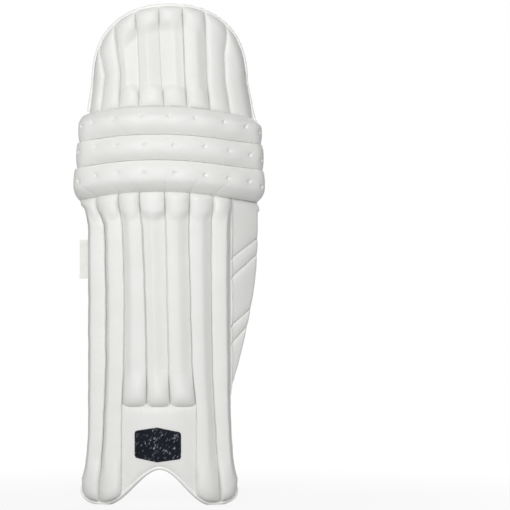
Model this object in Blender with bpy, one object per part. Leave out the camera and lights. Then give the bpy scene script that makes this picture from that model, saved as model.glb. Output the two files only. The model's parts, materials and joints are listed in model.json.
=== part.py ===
"""Cricket leg pad for the left leg, as the separate pieces it is sewn together from.

The pad is a stack of layers bent round the leg. Every layer is laid out by its distance across the bend,
its height, and its distance out from the back of the board, and then bent round a common upright axis.
Metres, +Z up, front towards -Y, leg side towards +Y, wing towards +X.
"""
import math

import bmesh
import bpy
from mathutils import Matrix, Vector

OBJECT_NAME = "cricket_leg_pad"

# Layers, from the board outwards and inwards
WRAP_RADIUS = 0.170
LAYER_GAP = 0.0005
BOARD = 0.004
COVER = 0.002
SKIN = 0.0016

# Heights above the foot end, and the steps up from the knee
INSTEP_ARCH = 0.050
INSTEP_TOP = 0.138
BULB_HEIGHT = 0.030
KNEE_BOTTOM = 0.438
CROWN_HEIGHT = 0.036
ROLL_PITCH = 0.039
ROLL_COUNT = 3
SHOULDER_RISE = 0.037
DOME_RISE = 0.106

# Shin section, seen from the front
SHIN_INNER_X = -0.103
CHANNEL_WIDTHS = (0.023, 0.0265, 0.0285, 0.031, 0.032, 0.0245, 0.0295)
RECESS_SHARES = (0.10, 0.12, 0.27, 0.45, 0.41, 0.18, 0.10)
PANEL_CHANNEL_COUNT = 3
RIB_RISE = 0.0105
RIB_SHOULDER = 0.09
RIB_ROUNDNESS = 0.9
STEP_BEFORE = 0.05
STEP_AFTER = 0.02
BULB_FULLNESS = 0.75
ROD_START = 0.24
ROD_CLEAR = 0.16
ROD_FILL = 0.42
RECESS_RISE = 0.004
PANEL_SEAT_RISE = 0.0025
INSTEP_PANEL = 0.0035
LOBE_FLARE = 0.009
LOBE_LEVEL = 0.026
LOBE_SPREAD = 0.020
LOBE_ROUND = 0.020
LOBE_BASE = 0.100
ARCH_MIDDLE_X = -0.004
ARCH_INNER = 0.079
ARCH_OUTER = 0.072
ARCH_SOFTNESS = 0.2
BINDING_RADIUS = 0.0022
BINDING_REACH = 0.9
BINDING_FADE = 0.2
BADGE_WIDTH = 0.065
BADGE_HEIGHT = 0.038
BADGE_PEAK = 0.010
BADGE_LEVEL = 0.085
PATCH = 0.0012

# Wing
WING_WIDTH_X = 0.041
WING_LOW = 0.154
WING_TIP = 0.003
WING_FULL = 0.8
WING_CURVE = 0.9
WING_INSET = 0.002
WING_PANEL = 0.006
WING_SWELL = 0.0055
WING_EDGE_SHARE = 0.4
WING_QUILT = 0.0022
WING_VALLEYS = (0.27, 0.35, 0.61, 0.70)
WING_QUILT_RISE = 0.030
SEAM_GAP = 0.0008

# Knee section
KNEE_INNER_X = -0.1195
KNEE_OUTER_X = 0.1360
ROLL_RIM = 0.006
ROLL_CROWN = 0.026
ROLL_GAP = 0.0004
ROLL_END = 0.022
ROLL_END_FULLNESS = 0.25
ROLL_END_TAPER = 0.72
ROLL_LIP = 0.006
TUFT_COUNT = 9
TUFT_DEPTH = 0.0045
TUFT_LEVEL = 0.58
SEAM_DIP = 0.014
DIP_SPAN = 0.120
DIP_MIDDLE = -0.008
KNEE_PAD_CROWN = 0.014
KNEE_PAD_ROUND = 0.018
OUTER_KNEE_MARGIN = 0.006
INNER_KNEE_MARGIN = 0.018
KNEE_PANEL_MIDDLE = 0.013
KNEE_PANEL_END_HALF = 0.020
KNEE_PANEL_WAIST_HALF = 0.056
KNEE_PANEL = 0.006

# Top hat
TOP_INNER_X = -0.105
TOP_OUTER_X = 0.1265
SHOULDER_INNER_X = -0.0985
SHOULDER_OUTER_X = 0.1155
DOME_POWER = 2.2
TOP_CHANNELS = (0.0195, 0.024, 0.028, 0.0345, 0.032, 0.032, 0.028, 0.033)
TOP_RIB = 0.58
TOP_RIB_RISE = 0.0085
TOP_RECESS_RISE = 0.0035
TOP_EDGE_FULLNESS = 0.7
TOP_PUFF_LOW = 0.2
TOP_PUFF_HIGH = 0.88
LINING = 0.002

# Leg side of the shin
BOLSTER_CROWN = 0.022
BOLSTER_COVER = 0.0015
BOLSTER_ROUND = 2.2
BOLSTER_LOW = 0.030
BOLSTER_CLEAR = 0.026
BOLSTER_END = 0.030
BOLSTER_TAPER = 0.6
CORE_INSET = 0.04
CORE_FILL = 0.9
OUTER_BOLSTER_NEAR = 0.048
OUTER_BOLSTER_FOOT = 0.0745
OUTER_BOLSTER_CALF = 0.090
INNER_BOLSTER_NEAR = -0.022
INNER_BOLSTER_FAR = -0.084
BOLSTER_WIDEN_LOW = 0.170
BOLSTER_WIDEN_HIGH = 0.270
STRIP = 0.001
STRIP_CLEAR = 0.001

# Bending of the sections against each other
FLEX_AXIS_Y = 0.025
FLEX_DROP = 0.006
FLEX_ANGLE = 6.0
FLEX_ALLOWANCE = 1.15

# Straps
ANKLE_LEVEL = 0.137
CALF_DROP = 0.095
KNEE_STRAP_RISE = 0.035
WIDE_STRAP = 0.057
KNEE_STRAP = 0.030
WEB = 0.002
STRAP_BOW = 0.016
BAR_RADIUS = 0.002
EYE_GAP = 0.0004
RING_CORNER = 0.003
RING_REACH = 0.020
ANCHOR_LENGTH = 0.008
EDGE_STITCH = 0.002
LANDING_CLEAR = 0.006
TIP_LENGTH = 0.015
TIP_END = 0.5
TIP_SHOULDER = 0.3
PATCH_LENGTH = 0.010
HOOK_SHARE = 0.6
PILE_SHARE = 0.84
TAG_WIDTH = 0.017
TAG_HEIGHT = 0.054
TAG_BACKSET = 0.4
TAG_THICKNESS = 0.001
STRAP_BADGE_WIDTH = 0.088
STRAP_BADGE_POINT = 0.018
STRAP_BADGE_BLUNT = 0.12
STRAP_BADGE_PLACE = 0.44

# Values that follow from the sizes above
RIB_TOP = KNEE_BOTTOM - CROWN_HEIGHT
BOLSTER_HIGH = KNEE_BOTTOM - BOLSTER_CLEAR
KNEE_TOP = KNEE_BOTTOM + ROLL_COUNT * ROLL_PITCH
CALF_LEVEL = KNEE_BOTTOM - CALF_DROP
KNEE_STRAP_LEVEL = KNEE_BOTTOM + KNEE_STRAP_RISE
SHOULDER = KNEE_TOP + SHOULDER_RISE
TOP = SHOULDER + DOME_RISE
FRONT_SEAT = BOARD + LAYER_GAP
SEAM_OUT = FRONT_SEAT + COVER
SKIN_OUT = -(LAYER_GAP + SKIN)
LEG_SEAT = SKIN_OUT - LAYER_GAP
FLEX_SPREAD = FLEX_ALLOWANCE * math.tan(math.radians(FLEX_ANGLE))
EYE_HOLE = BAR_RADIUS + EYE_GAP
EYE_OUTER = EYE_HOLE + WEB
BINDING_SPACE = 2.0 * BINDING_RADIUS + 2.5 * LAYER_GAP

# Colour and roughness of each finish
FINISHES = {
    "white leather": ((0.84, 0.84, 0.81), 0.45),
    "white binding": ((0.90, 0.90, 0.88), 0.50),
    "white mesh": ((0.86, 0.85, 0.86), 0.85),
    "white webbing": ((0.90, 0.90, 0.92), 0.75),
    "white plastic": ((0.88, 0.88, 0.87), 0.35),
    "navy lining": ((0.010, 0.013, 0.030), 0.80),
    "black rubber": ((0.020, 0.024, 0.026), 0.55),
    "foam": ((0.75, 0.72, 0.62), 0.90),
    "pile": ((0.80, 0.80, 0.80), 0.95),
}


def wrap(across, up, out):
    """Bends a place on the flat layout round the leg."""
    angle = across / WRAP_RADIUS
    reach = WRAP_RADIUS + out
    return Vector((reach * math.sin(angle), WRAP_RADIUS - reach * math.cos(angle), up))


def across_at(x, out):
    """Distance across the bend of a point seen at x from the front."""
    return WRAP_RADIUS * math.asin(x / (WRAP_RADIUS + out))


def mix(low, high, share):
    return low + (high - low) * share


def steps(low, high, count):
    return [mix(low, high, index / count) for index in range(count + 1)]


def rounded(from_edge, radius):
    """Rise of a quarter round at a distance from the edge it starts at, from 0 to 1."""
    short = 1.0 - min(1.0, max(0.0, from_edge / radius))
    return math.sqrt(1.0 - short ** 2)


def start_scene():
    for item in list(bpy.data.objects):
        bpy.data.objects.remove(item, do_unlink=True)
    parts = bpy.data.collections.new(OBJECT_NAME)
    bpy.context.scene.collection.children.link(parts)
    return parts


PARTS = start_scene()


def pivot(name, place):
    """An empty on a joint's axis, which the pieces of that moving body hang on."""
    empty = bpy.data.objects.new(name, None)
    empty.location = place
    empty.empty_display_size = 0.02
    PARTS.objects.link(empty)
    return empty


def add_piece(name, data, finish, hung_on=None, place=(0.0, 0.0, 0.0)):
    """Links a piece with a material of its own, and hangs it on its joint's empty."""
    piece = bpy.data.objects.new(name, data)
    piece.location = place
    colour, roughness = FINISHES[finish]
    material = bpy.data.materials.new(name + "_finish")
    material.use_nodes = True
    shader = material.node_tree.nodes["Principled BSDF"]
    shader.inputs["Base Color"].default_value = (*colour, 1.0)
    shader.inputs["Roughness"].default_value = roughness
    shader.inputs["Metallic"].default_value = 0.0
    data.materials.append(material)
    PARTS.objects.link(piece)
    if hung_on is not None:
        piece.parent = hung_on
        piece.matrix_parent_inverse = Matrix.Translation(hung_on.location).inverted()
    return piece


def slab(name, finish, stations, levels, place, hung_on=None):
    """A bent quilt: a flat grid, thickened, whose points are then put where place says.

    place takes a station, a level and a side, 0 for the leg side and 1 for the front.
    """
    column_count = len(stations) - 1
    row_count = len(levels) - 1
    bm = bmesh.new()
    bmesh.ops.create_grid(bm, x_segments=column_count, y_segments=row_count, size=0.5)
    leg_side = list(bm.verts)
    grown = bmesh.ops.extrude_face_region(bm, geom=list(bm.faces))
    front = [item for item in grown["geom"] if isinstance(item, bmesh.types.BMVert)]
    for side, corners in enumerate((leg_side, front)):
        for corner in corners:
            station = stations[round((corner.co.x + 0.5) * column_count)]
            level = levels[round((corner.co.y + 0.5) * row_count)]
            corner.co = place(station, level, side)
    bmesh.ops.recalc_face_normals(bm, faces=list(bm.faces))
    mesh = bpy.data.meshes.new(name)
    bm.to_mesh(mesh)
    bm.free()
    mesh.shade_smooth()
    mesh.set_sharp_from_angle(angle=math.radians(40.0))
    return add_piece(name, mesh, finish, hung_on)


def tube(name, finish, points, radius, closed=False, hung_on=None):
    """Binding tape or ring wire along a run of points."""
    curve = bpy.data.curves.new(name, "CURVE")
    curve.dimensions = "3D"
    curve.bevel_depth = radius
    curve.bevel_resolution = 1
    curve.use_fill_caps = not closed
    spline = curve.splines.new("POLY")
    spline.points.add(len(points) - 1)
    spline.use_cyclic_u = closed
    for point, corner in zip(points, spline.points):
        corner.co = (*point, 1.0)
    return add_piece(name, curve, finish, hung_on)


def extruded(name, finish, outlines, level, width, hung_on=None):
    """Webbing seen on edge: closed outlines in plan, extruded to the webbing's width."""
    curve = bpy.data.curves.new(name, "CURVE")
    curve.dimensions = "2D"
    curve.fill_mode = "BOTH"
    curve.extrude = width / 2
    for outline in outlines:
        spline = curve.splines.new("POLY")
        spline.points.add(len(outline) - 1)
        spline.use_cyclic_u = True
        for point, corner in zip(outline, spline.points):
            corner.co = (point.x, point.y, 0.0, 1.0)
    return add_piece(name, curve, finish, hung_on, (0.0, 0.0, level))


def arched(level, across):
    """The seams at the knee dip towards their ends."""
    return level - SEAM_DIP * ((across - DIP_MIDDLE) / DIP_SPAN) ** 2


def seam_half(across, out):
    """Half the room left at a knee seam, which grows away from the line it bends on."""
    away = abs(wrap(across, 0.0, out).y - FLEX_AXIS_Y)
    return (SEAM_GAP + away * FLEX_SPREAD) / 2


# Shin section

CHANNEL_COUNT = len(CHANNEL_WIDTHS)
CHANNEL_EDGES_X = [SHIN_INNER_X + sum(CHANNEL_WIDTHS[:index]) for index in range(CHANNEL_COUNT + 1)]
CHANNEL_EDGES = [across_at(x, SEAM_OUT) for x in CHANNEL_EDGES_X]
SHIN_INNER = CHANNEL_EDGES[0]
SHIN_OUTER = CHANNEL_EDGES[-1]
CENTRE_SEAM = (CHANNEL_COUNT + 1) // 2
FIRST_PANEL_CHANNEL = (CHANNEL_COUNT - PANEL_CHANNEL_COUNT) // 2
LAST_PANEL_CHANNEL = FIRST_PANEL_CHANNEL + PANEL_CHANNEL_COUNT - 1
ARCH_MIDDLE = across_at(ARCH_MIDDLE_X, SEAM_OUT)


def foot_reach(across):
    """How far a point lies from the arch's middle, where 1 is the lowest point of a lobe."""
    reach = ARCH_INNER if across < ARCH_MIDDLE else ARCH_OUTER
    return (across - ARCH_MIDDLE) / reach


def foot_edge(across):
    """Height of the foot end: a soft-topped arch between two round lobes."""
    reach = abs(foot_reach(across))
    if reach < 1.0:
        fall = math.hypot(reach, ARCH_SOFTNESS) - ARCH_SOFTNESS
        return INSTEP_ARCH * (1.0 - fall / (math.hypot(1.0, ARCH_SOFTNESS) - ARCH_SOFTNESS))
    corner = SHIN_INNER if across < ARCH_MIDDLE else SHIN_OUTER
    past = min(1.0, (reach - 1.0) / (abs(foot_reach(corner)) - 1.0))
    return LOBE_ROUND * (1.0 - math.sqrt(1.0 - past ** 2))


def sewn_edge(across):
    """The foot end of the layers, which leaves room for the binding under the arch."""
    past = abs(foot_reach(across)) - BINDING_REACH - BINDING_FADE
    return foot_edge(across) + BINDING_SPACE * min(1.0, max(0.0, -past / BINDING_FADE))


def shin_height(level, across, out):
    """Rows are level on the shin, and follow the foot edge below and the knee seam above."""
    if level < LOBE_BASE:
        return mix(sewn_edge(across), LOBE_BASE, level / LOBE_BASE)
    if level > RIB_TOP:
        end = arched(KNEE_BOTTOM, across) - seam_half(across, out)
        return mix(RIB_TOP, end, (level - RIB_TOP) / (KNEE_BOTTOM - RIB_TOP))
    return level


def shin_point(across, level, out):
    """A point of a shin layer, with the lobes flared at the foot end."""
    height = shin_height(level, across, out)
    share = 2.0 * (across - SHIN_INNER) / (SHIN_OUTER - SHIN_INNER) - 1.0
    flare = LOBE_FLARE * math.exp(-((height - LOBE_LEVEL) / LOBE_SPREAD) ** 2)
    return wrap(across + flare * share ** 5, height, out)


def shin_layer(name, finish, leg_out, front_out):
    """A plain layer over the whole shin."""
    stations = steps(SHIN_INNER, SHIN_OUTER, 16)
    levels = steps(0.0, LOBE_BASE, 3) + [mix(LOBE_BASE, RIB_TOP, 0.5), RIB_TOP, KNEE_BOTTOM]
    outs = (leg_out, front_out)

    def place(across, level, side):
        return shin_point(across, level, outs[side])

    return slab(name, finish, stations, levels, place)


def rib_middle(channel):
    return mix(RIB_SHOULDER, 1.0 - RECESS_SHARES[channel], 0.5)


def shin_channels():
    """Stations across the cover: channel number and distance from its seam nearest the centre."""
    stations = []
    for channel in range(CHANNEL_COUNT):
        step = 1.0 - RECESS_SHARES[channel]
        marks = [0.0, RIB_SHOULDER, rib_middle(channel), step - STEP_BEFORE, step + STEP_AFTER]
        if channel < CENTRE_SEAM:
            marks = [1.0] + marks[:0:-1]
        stations += [(channel, mark) for mark in marks]
    stations.append((CHANNEL_COUNT - 1, 1.0))
    return stations


def channel_across(station):
    channel, mark = station
    share = 1.0 - mark if channel < CENTRE_SEAM else mark
    return mix(CHANNEL_EDGES[channel], CHANNEL_EDGES[channel + 1], share)


def shin_rise(station, level):
    """How far the cover swells above its seams."""
    channel, mark = station
    if mark in (0.0, 1.0):
        rib = 0.0
        recess = 0.0
    elif mark > 1.0 - RECESS_SHARES[channel]:
        rib = RECESS_RISE
        recess = BULB_FULLNESS * RIB_RISE
    else:
        rib = RIB_RISE * (1.0 - RIB_ROUNDNESS * (mark - rib_middle(channel)) ** 2)
        recess = rib
    over_panel = FIRST_PANEL_CHANNEL <= channel <= LAST_PANEL_CHANNEL
    if over_panel and level <= INSTEP_TOP:
        return PANEL_SEAT_RISE
    if level == 0.0:
        return min(rib, RECESS_RISE)
    if level >= KNEE_BOTTOM:
        return min(recess, RECESS_RISE)
    in_foot_bulb = over_panel and level < INSTEP_TOP + BULB_HEIGHT
    return recess if level > RIB_TOP or in_foot_bulb else rib


def make_shin():
    shin_layer("shin_board", "foam", 0.0, BOARD)
    shin_layer("shin_back_skin", "white leather", SKIN_OUT, -LAYER_GAP)
    stations = shin_channels()
    rows = (0.0, 0.22, 0.65, 1.0)
    foot = [mix(0.0, LOBE_BASE, share) for share in rows]
    bulb = [mix(INSTEP_TOP, INSTEP_TOP + BULB_HEIGHT, share) for share in rows]
    crown = [mix(RIB_TOP, KNEE_BOTTOM, share) for share in rows]
    levels = foot + bulb + [RIB_TOP - BULB_HEIGHT] + crown

    def cover_place(station, level, side):
        out = SEAM_OUT + shin_rise(station, level)
        return shin_point(channel_across(station), level, out - COVER * (1 - side))

    slab("shin_cover", "white leather", stations, levels, cover_place)

    for channel in range(CHANNEL_COUNT):
        over_panel = FIRST_PANEL_CHANNEL <= channel <= LAST_PANEL_CHANNEL
        low = INSTEP_TOP + BULB_HEIGHT if over_panel else LOBE_BASE
        marks = steps(ROD_START, 1.0 - RECESS_SHARES[channel] - ROD_CLEAR, 2)

        def rod_place(mark, level, side, channel=channel):
            out = FRONT_SEAT + ROD_FILL * RIB_RISE * side
            return wrap(channel_across((channel, mark)), level, out)

        slab(f"shin_rod_{channel + 1}", "foam", marks, (low, RIB_TOP - BULB_HEIGHT), rod_place)

    seat = SEAM_OUT + PANEL_SEAT_RISE + LAYER_GAP
    panel = steps(CHANNEL_EDGES[FIRST_PANEL_CHANNEL], CHANNEL_EDGES[LAST_PANEL_CHANNEL + 1], 12)
    panel_levels = (0.0, 0.5 * LOBE_BASE, LOBE_BASE, INSTEP_TOP - LAYER_GAP)

    def panel_place(across, level, side):
        return shin_point(across, level, seat + INSTEP_PANEL * side)

    slab("instep_panel", "white leather", panel, panel_levels, panel_place)

    badge_seat = seat + INSTEP_PANEL + LAYER_GAP
    badge_middle = (panel[0] + panel[-1]) / 2

    def badge_place(share, level, side):
        across = badge_middle + share * BADGE_WIDTH / 2
        height = BADGE_HEIGHT + BADGE_PEAK * (1.0 - abs(share))
        return wrap(across, BADGE_LEVEL + level * height / 2, badge_seat + PATCH * side)

    slab("instep_badge", "navy lining", steps(-1.0, 1.0, 8), (-1.0, 0.0, 1.0), badge_place)

    arch = steps(ARCH_MIDDLE - BINDING_REACH * ARCH_INNER, ARCH_MIDDLE + BINDING_REACH * ARCH_OUTER, 16)
    route = [wrap(across, foot_edge(across) + BINDING_RADIUS, BOARD / 2) for across in arch]
    tube("instep_binding", "white binding", route, BINDING_RADIUS)


def make_bolster(name, near, foot_edge_across, calf_edge_across):
    """A mesh cover with its foam core, sewn to the leg side of the shin."""
    stations = (0.0, 0.09, 0.22, 0.4, 0.6, 0.78, 0.91, 1.0)
    levels = (0.0, 0.012, 0.04, 0.09, 0.36, 0.5, 0.63, 0.9, 0.97, 0.99, 1.0)

    def swell(station, level):
        crown = (1.0 - abs(2.0 * station - 1.0) ** BOLSTER_ROUND) ** (1.0 / BOLSTER_ROUND)
        return crown * rounded(min(level, 1.0 - level) * (BOLSTER_HIGH - BOLSTER_LOW), BOLSTER_CROWN)

    def across_of(station, level):
        height = mix(BOLSTER_LOW, BOLSTER_HIGH, level)
        narrow = max(0.0, 1.0 - (height - BOLSTER_LOW) / BOLSTER_END) ** 2
        widened = (height - BOLSTER_WIDEN_LOW) / (BOLSTER_WIDEN_HIGH - BOLSTER_WIDEN_LOW)
        far = mix(foot_edge_across, calf_edge_across, min(1.0, max(0.0, widened)))
        return mix(near, far, mix(station, 0.5, BOLSTER_TAPER * narrow))

    def cover_place(station, level, side):
        out = LEG_SEAT - BOLSTER_COVER * (1 - side)
        out -= (BOLSTER_CROWN - BOLSTER_COVER) * swell(station, level)
        return wrap(across_of(station, level), mix(BOLSTER_LOW, BOLSTER_HIGH, level), out)

    def core_place(station, level, side):
        rise = (BOLSTER_CROWN - BOLSTER_COVER) * swell(station, level) - 2.0 * LAYER_GAP
        inward = mix(station, 0.5, CORE_INSET)
        out = LEG_SEAT - LAYER_GAP / 2 - CORE_FILL * rise * (1 - side)
        return wrap(across_of(inward, level), mix(BOLSTER_LOW, BOLSTER_HIGH, level), out)

    slab(name + "_cover", "white mesh", stations, levels, cover_place)
    slab(name + "_core", "foam", stations[1:-1], levels[2:-2], core_place)


def make_leg_side():
    make_bolster("outer_bolster", OUTER_BOLSTER_NEAR, OUTER_BOLSTER_FOOT, OUTER_BOLSTER_CALF)
    make_bolster("inner_bolster", INNER_BOLSTER_NEAR, INNER_BOLSTER_FAR, INNER_BOLSTER_FAR)
    stations = steps(INNER_BOLSTER_NEAR + STRIP_CLEAR, OUTER_BOLSTER_NEAR - STRIP_CLEAR, 8)

    def strip_place(across, level, side):
        return shin_point(across, level, LEG_SEAT - STRIP * (1 - side))

    levels = steps(LOBE_BASE, RIB_TOP, 2) + [mix(RIB_TOP, KNEE_BOTTOM, 0.9)]
    slab("centre_strip", "navy lining", stations, [mix(0.0, LOBE_BASE, 0.12)] + levels, strip_place)

    root = wrap(SHIN_INNER, CALF_LEVEL, BOARD / 2)
    tangent = wrap(SHIN_INNER - TAG_WIDTH, CALF_LEVEL, BOARD / 2) - root
    lie = Vector((tangent.x, TAG_BACKSET * tangent.y, 0.0)).normalized()
    face = Vector((-lie.y, lie.x, 0.0))

    def tag_place(share, level, side):
        offset = lie * (2.0 * LAYER_GAP + share * TAG_WIDTH) + face * TAG_THICKNESS * (side - 0.5)
        return root + offset + Vector((0.0, 0.0, level * TAG_HEIGHT / 2))

    slab("side_tag", "white webbing", (0.0, 1.0), (-1.0, 1.0), tag_place)


# Wing

WING_INNER = SHIN_OUTER + SEAM_GAP
WING_OUTER = across_at(CHANNEL_EDGES_X[-1] + WING_WIDTH_X, WING_PANEL)
WING_AXIS = wrap(SHIN_OUTER + SEAM_GAP / 2, 0.0, WING_PANEL)


def wing_width(level):
    """Width of the wing: full above, drawn in to a tip below."""
    return (WING_OUTER - WING_INNER) * math.sin(0.5 * math.pi * min(1.0, level / WING_FULL)) ** WING_CURVE


def wing_point(share, level, out, inset):
    """A point of a wing layer."""
    reach = max(WING_TIP, wing_width(level) - 2.0 * inset)
    across = WING_INNER + inset + share * reach
    top = arched(KNEE_BOTTOM, across) - seam_half(across, out) - inset
    skew = WING_QUILT_RISE * (share - 0.5) * 4.0 * level * (1.0 - level)
    return wrap(across, mix(WING_LOW + inset, top, level) + skew, out)


def make_wing():
    hinge = pivot("wing_flex_axis", (WING_AXIS.x, WING_AXIS.y, WING_LOW))
    stations = steps(0.0, 1.0, 6)
    rows = (0.0, *WING_VALLEYS, 1.0)
    levels = [0.0]
    for low, high in zip(rows, rows[1:]):
        levels += [mix(low, high, 0.5), high]

    def panel_place(share, level, side):
        quilt = WING_QUILT if level in WING_VALLEYS and 0.0 < share < 1.0 else 0.0
        return wing_point(share, level, (WING_PANEL - quilt) * side, 0.0)

    slab("wing_panel", "white leather", stations, levels, panel_place, hinge)

    def lining_place(share, level, side):
        edge = share in (0.0, 1.0) or level in (0.0, 1.0)
        swell = (WING_EDGE_SHARE if edge else 1.0) * WING_SWELL * (1 - side)
        return wing_point(share, level, -LAYER_GAP - swell, WING_INSET)

    slab("wing_lining", "white mesh", stations, levels, lining_place, hinge)
    return hinge


# Knee section

KNEE_INNER = across_at(KNEE_INNER_X, FRONT_SEAT + ROLL_RIM)
KNEE_OUTER = across_at(KNEE_OUTER_X, FRONT_SEAT + ROLL_RIM)
KNEE_STATIONS = steps(KNEE_INNER, KNEE_OUTER, 2 * TUFT_COUNT)


def knee_height(level, across, out):
    """Height of a knee layer, from its lower seam at level 0 to its upper seam at level 1."""
    low = arched(KNEE_BOTTOM, across) + seam_half(across, out)
    high = arched(KNEE_TOP, across) - seam_half(across, out)
    return mix(low, high, level)


def make_rolls(hinge):
    """Three stuffed rolls, each sewn down at its tufts."""
    crowns = {0.0: 0.0, 0.10: 0.62, 0.32: 0.96, TUFT_LEVEL: 1.0, 0.82: 0.82, 0.93: 0.55, 1.0: 0.0}
    levels = list(crowns)
    for index in range(ROLL_COUNT):

        def place(number, level, side, index=index):
            across = KNEE_STATIONS[number]
            full = rounded(min(across - KNEE_INNER, KNEE_OUTER - across), ROLL_END)
            swell = (ROLL_CROWN - ROLL_RIM) * crowns[level] * mix(ROLL_END_FULLNESS, 1.0, full)
            if number % 2 == 1 and level == TUFT_LEVEL:
                swell -= TUFT_DEPTH
            out = FRONT_SEAT + (ROLL_RIM + swell) * side
            low = arched(KNEE_BOTTOM + index * ROLL_PITCH, across) + ROLL_GAP / 2
            high = low + ROLL_PITCH - ROLL_GAP
            if index == 0:
                low = arched(KNEE_BOTTOM, across) + seam_half(across, out)
            if index == ROLL_COUNT - 1:
                high = arched(KNEE_TOP, across) - seam_half(across, out)
            height = mix(low, high, 0.5 + (level - 0.5) * mix(ROLL_END_TAPER, 1.0, full))
            if side == 1 and index == 0 and level == levels[1]:
                height -= ROLL_LIP * full
            if side == 1 and index == ROLL_COUNT - 1 and level == levels[-2]:
                height += ROLL_LIP * full
            return wrap(across, height, out)

        numbers = range(len(KNEE_STATIONS))
        slab(f"knee_roll_{index + 1}", "white leather", numbers, levels, place, hinge)


def knee_waist(level):
    """Half width of the six-sided centre panel at a height."""
    return mix(KNEE_PANEL_END_HALF, KNEE_PANEL_WAIST_HALF, 1.0 - abs(2.0 * level - 1.0))


def make_knee_pad(name, side_sign, far_edge, hinge):
    """A mesh pad beside the centre panel, with its foam core."""
    stations = (0.0, 0.05, 0.15, 0.4, 0.7, 0.88, 0.95, 1.0)
    levels = (0.0, 0.06, 0.2, 0.5, 0.8, 0.94, 1.0)

    def edges(level):
        near = KNEE_PANEL_MIDDLE + side_sign * (knee_waist(level) + LAYER_GAP)
        return near, far_edge

    def swell(station, level):
        near, far = edges(level)
        sides = rounded(min(station, 1.0 - station) * abs(far - near), KNEE_PAD_ROUND)
        ends = rounded(min(level, 1.0 - level) * (KNEE_TOP - KNEE_BOTTOM), KNEE_PAD_ROUND)
        return (KNEE_PAD_CROWN - BOLSTER_COVER) * sides * ends

    def cover_place(station, level, side):
        across = mix(*edges(level), station)
        out = -LAYER_GAP - BOLSTER_COVER * (1 - side) - swell(station, level)
        return wrap(across, knee_height(level, across, out), out)

    def core_place(station, level, side):
        across = mix(*edges(level), mix(station, 0.5, CORE_INSET))
        rise = CORE_FILL * (swell(station, level) - 2.0 * LAYER_GAP)
        out = -1.5 * LAYER_GAP - rise * (1 - side)
        return wrap(across, knee_height(mix(level, 0.5, CORE_INSET), across, out), out)

    slab(name + "_cover", "white mesh", stations, levels, cover_place, hinge)
    slab(name + "_core", "foam", stations[1:-1], levels[1:-1], core_place, hinge)


def make_knee():
    hinge = pivot("knee_flex_axis", (0.0, FLEX_AXIS_Y, KNEE_BOTTOM - FLEX_DROP))
    make_rolls(hinge)

    def board_place(across, level, side):
        return wrap(across, knee_height(level, across, BOARD * side), BOARD * side)

    slab("knee_board", "foam", KNEE_STATIONS, (0.0, 0.5, 1.0), board_place, hinge)
    make_knee_pad("outer_knee_pad", 1.0, KNEE_OUTER - OUTER_KNEE_MARGIN, hinge)
    make_knee_pad("inner_knee_pad", -1.0, KNEE_INNER + INNER_KNEE_MARGIN, hinge)

    def panel_place(share, level, side):
        across = KNEE_PANEL_MIDDLE + share * (knee_waist(level) - LAYER_GAP)
        edge = 0.5 if abs(share) == 1.0 or level in (0.0, 1.0) else 1.0
        out = -LAYER_GAP - KNEE_PANEL * edge * (1 - side)
        return wrap(across, knee_height(level, across, out), out)

    shares = (-1.0, -0.85, -0.5, 0.0, 0.5, 0.85, 1.0)
    levels = (0.0, 0.1, 0.3, 0.5, 0.7, 0.9, 1.0)
    slab("knee_centre_panel", "white leather", shares, levels, panel_place, hinge)
    return hinge


# Top hat

TOP_TOTAL = sum(TOP_CHANNELS)
TOP_SEAMS = [sum(TOP_CHANNELS[:index]) / TOP_TOTAL for index in range(len(TOP_CHANNELS) + 1)]
TOP_INNER = across_at(TOP_INNER_X, BOARD)
TOP_OUTER = across_at(TOP_OUTER_X, BOARD)
SHOULDER_INNER = across_at(SHOULDER_INNER_X, BOARD)
SHOULDER_OUTER = across_at(SHOULDER_OUTER_X, BOARD)
TOP_INSET = 2.0 * BINDING_RADIUS + LAYER_GAP


def dome_point(share, level, out, inset):
    """A point of a top layer: straight sides to the shoulders, and a round crown over them."""
    low_across = mix(TOP_INNER + inset, TOP_OUTER - inset, share)
    high_across = mix(SHOULDER_INNER + inset, SHOULDER_OUTER - inset, share)
    low = arched(KNEE_TOP, low_across) + seam_half(low_across, out)
    round_share = 1.0 - abs(2.0 * share - 1.0) ** DOME_POWER
    high = SHOULDER + (TOP - SHOULDER - inset) * round_share ** (1.0 / DOME_POWER)
    return wrap(mix(low_across, high_across, level), mix(low, high, level), out)


def top_stations():
    """Stations over the dome: channel number and share of the way across it."""
    stations = [(0, 0.0), (0, 0.04), (0, 0.13)]
    for channel in range(len(TOP_CHANNELS)):
        rib_first = channel >= CENTRE_SEAM
        marks = (0.12, TOP_RIB, 0.70) if rib_first else (0.30, 1.0 - TOP_RIB, 0.88)
        stations += [(channel, 0.0)] if channel else []
        stations += [(channel, mark) for mark in marks]
    return stations + [(len(TOP_CHANNELS) - 1, mark) for mark in (0.88, 0.975, 1.0)]


def top_share(station):
    channel, mark = station
    return mix(TOP_SEAMS[channel], TOP_SEAMS[channel + 1], mark)


def top_rise(station, level):
    """How far the top cover swells above its seams."""
    channel, mark = station
    if mark in (0.0, 1.0) or level in (0.0, 1.0):
        return 0.0
    puffed = level < TOP_PUFF_LOW or level > TOP_PUFF_HIGH
    rib_first = channel >= CENTRE_SEAM
    in_recess = mark > TOP_RIB + 0.05 if rib_first else mark < 0.95 - TOP_RIB
    at_side = channel in (0, len(TOP_CHANNELS) - 1)
    if in_recess and not puffed and not at_side:
        return TOP_RECESS_RISE
    near_edge = level < TOP_PUFF_LOW / 2 or level > (1.0 + TOP_PUFF_HIGH) / 2
    return TOP_RIB_RISE * (TOP_EDGE_FULLNESS if near_edge or at_side else 1.0)


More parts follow.
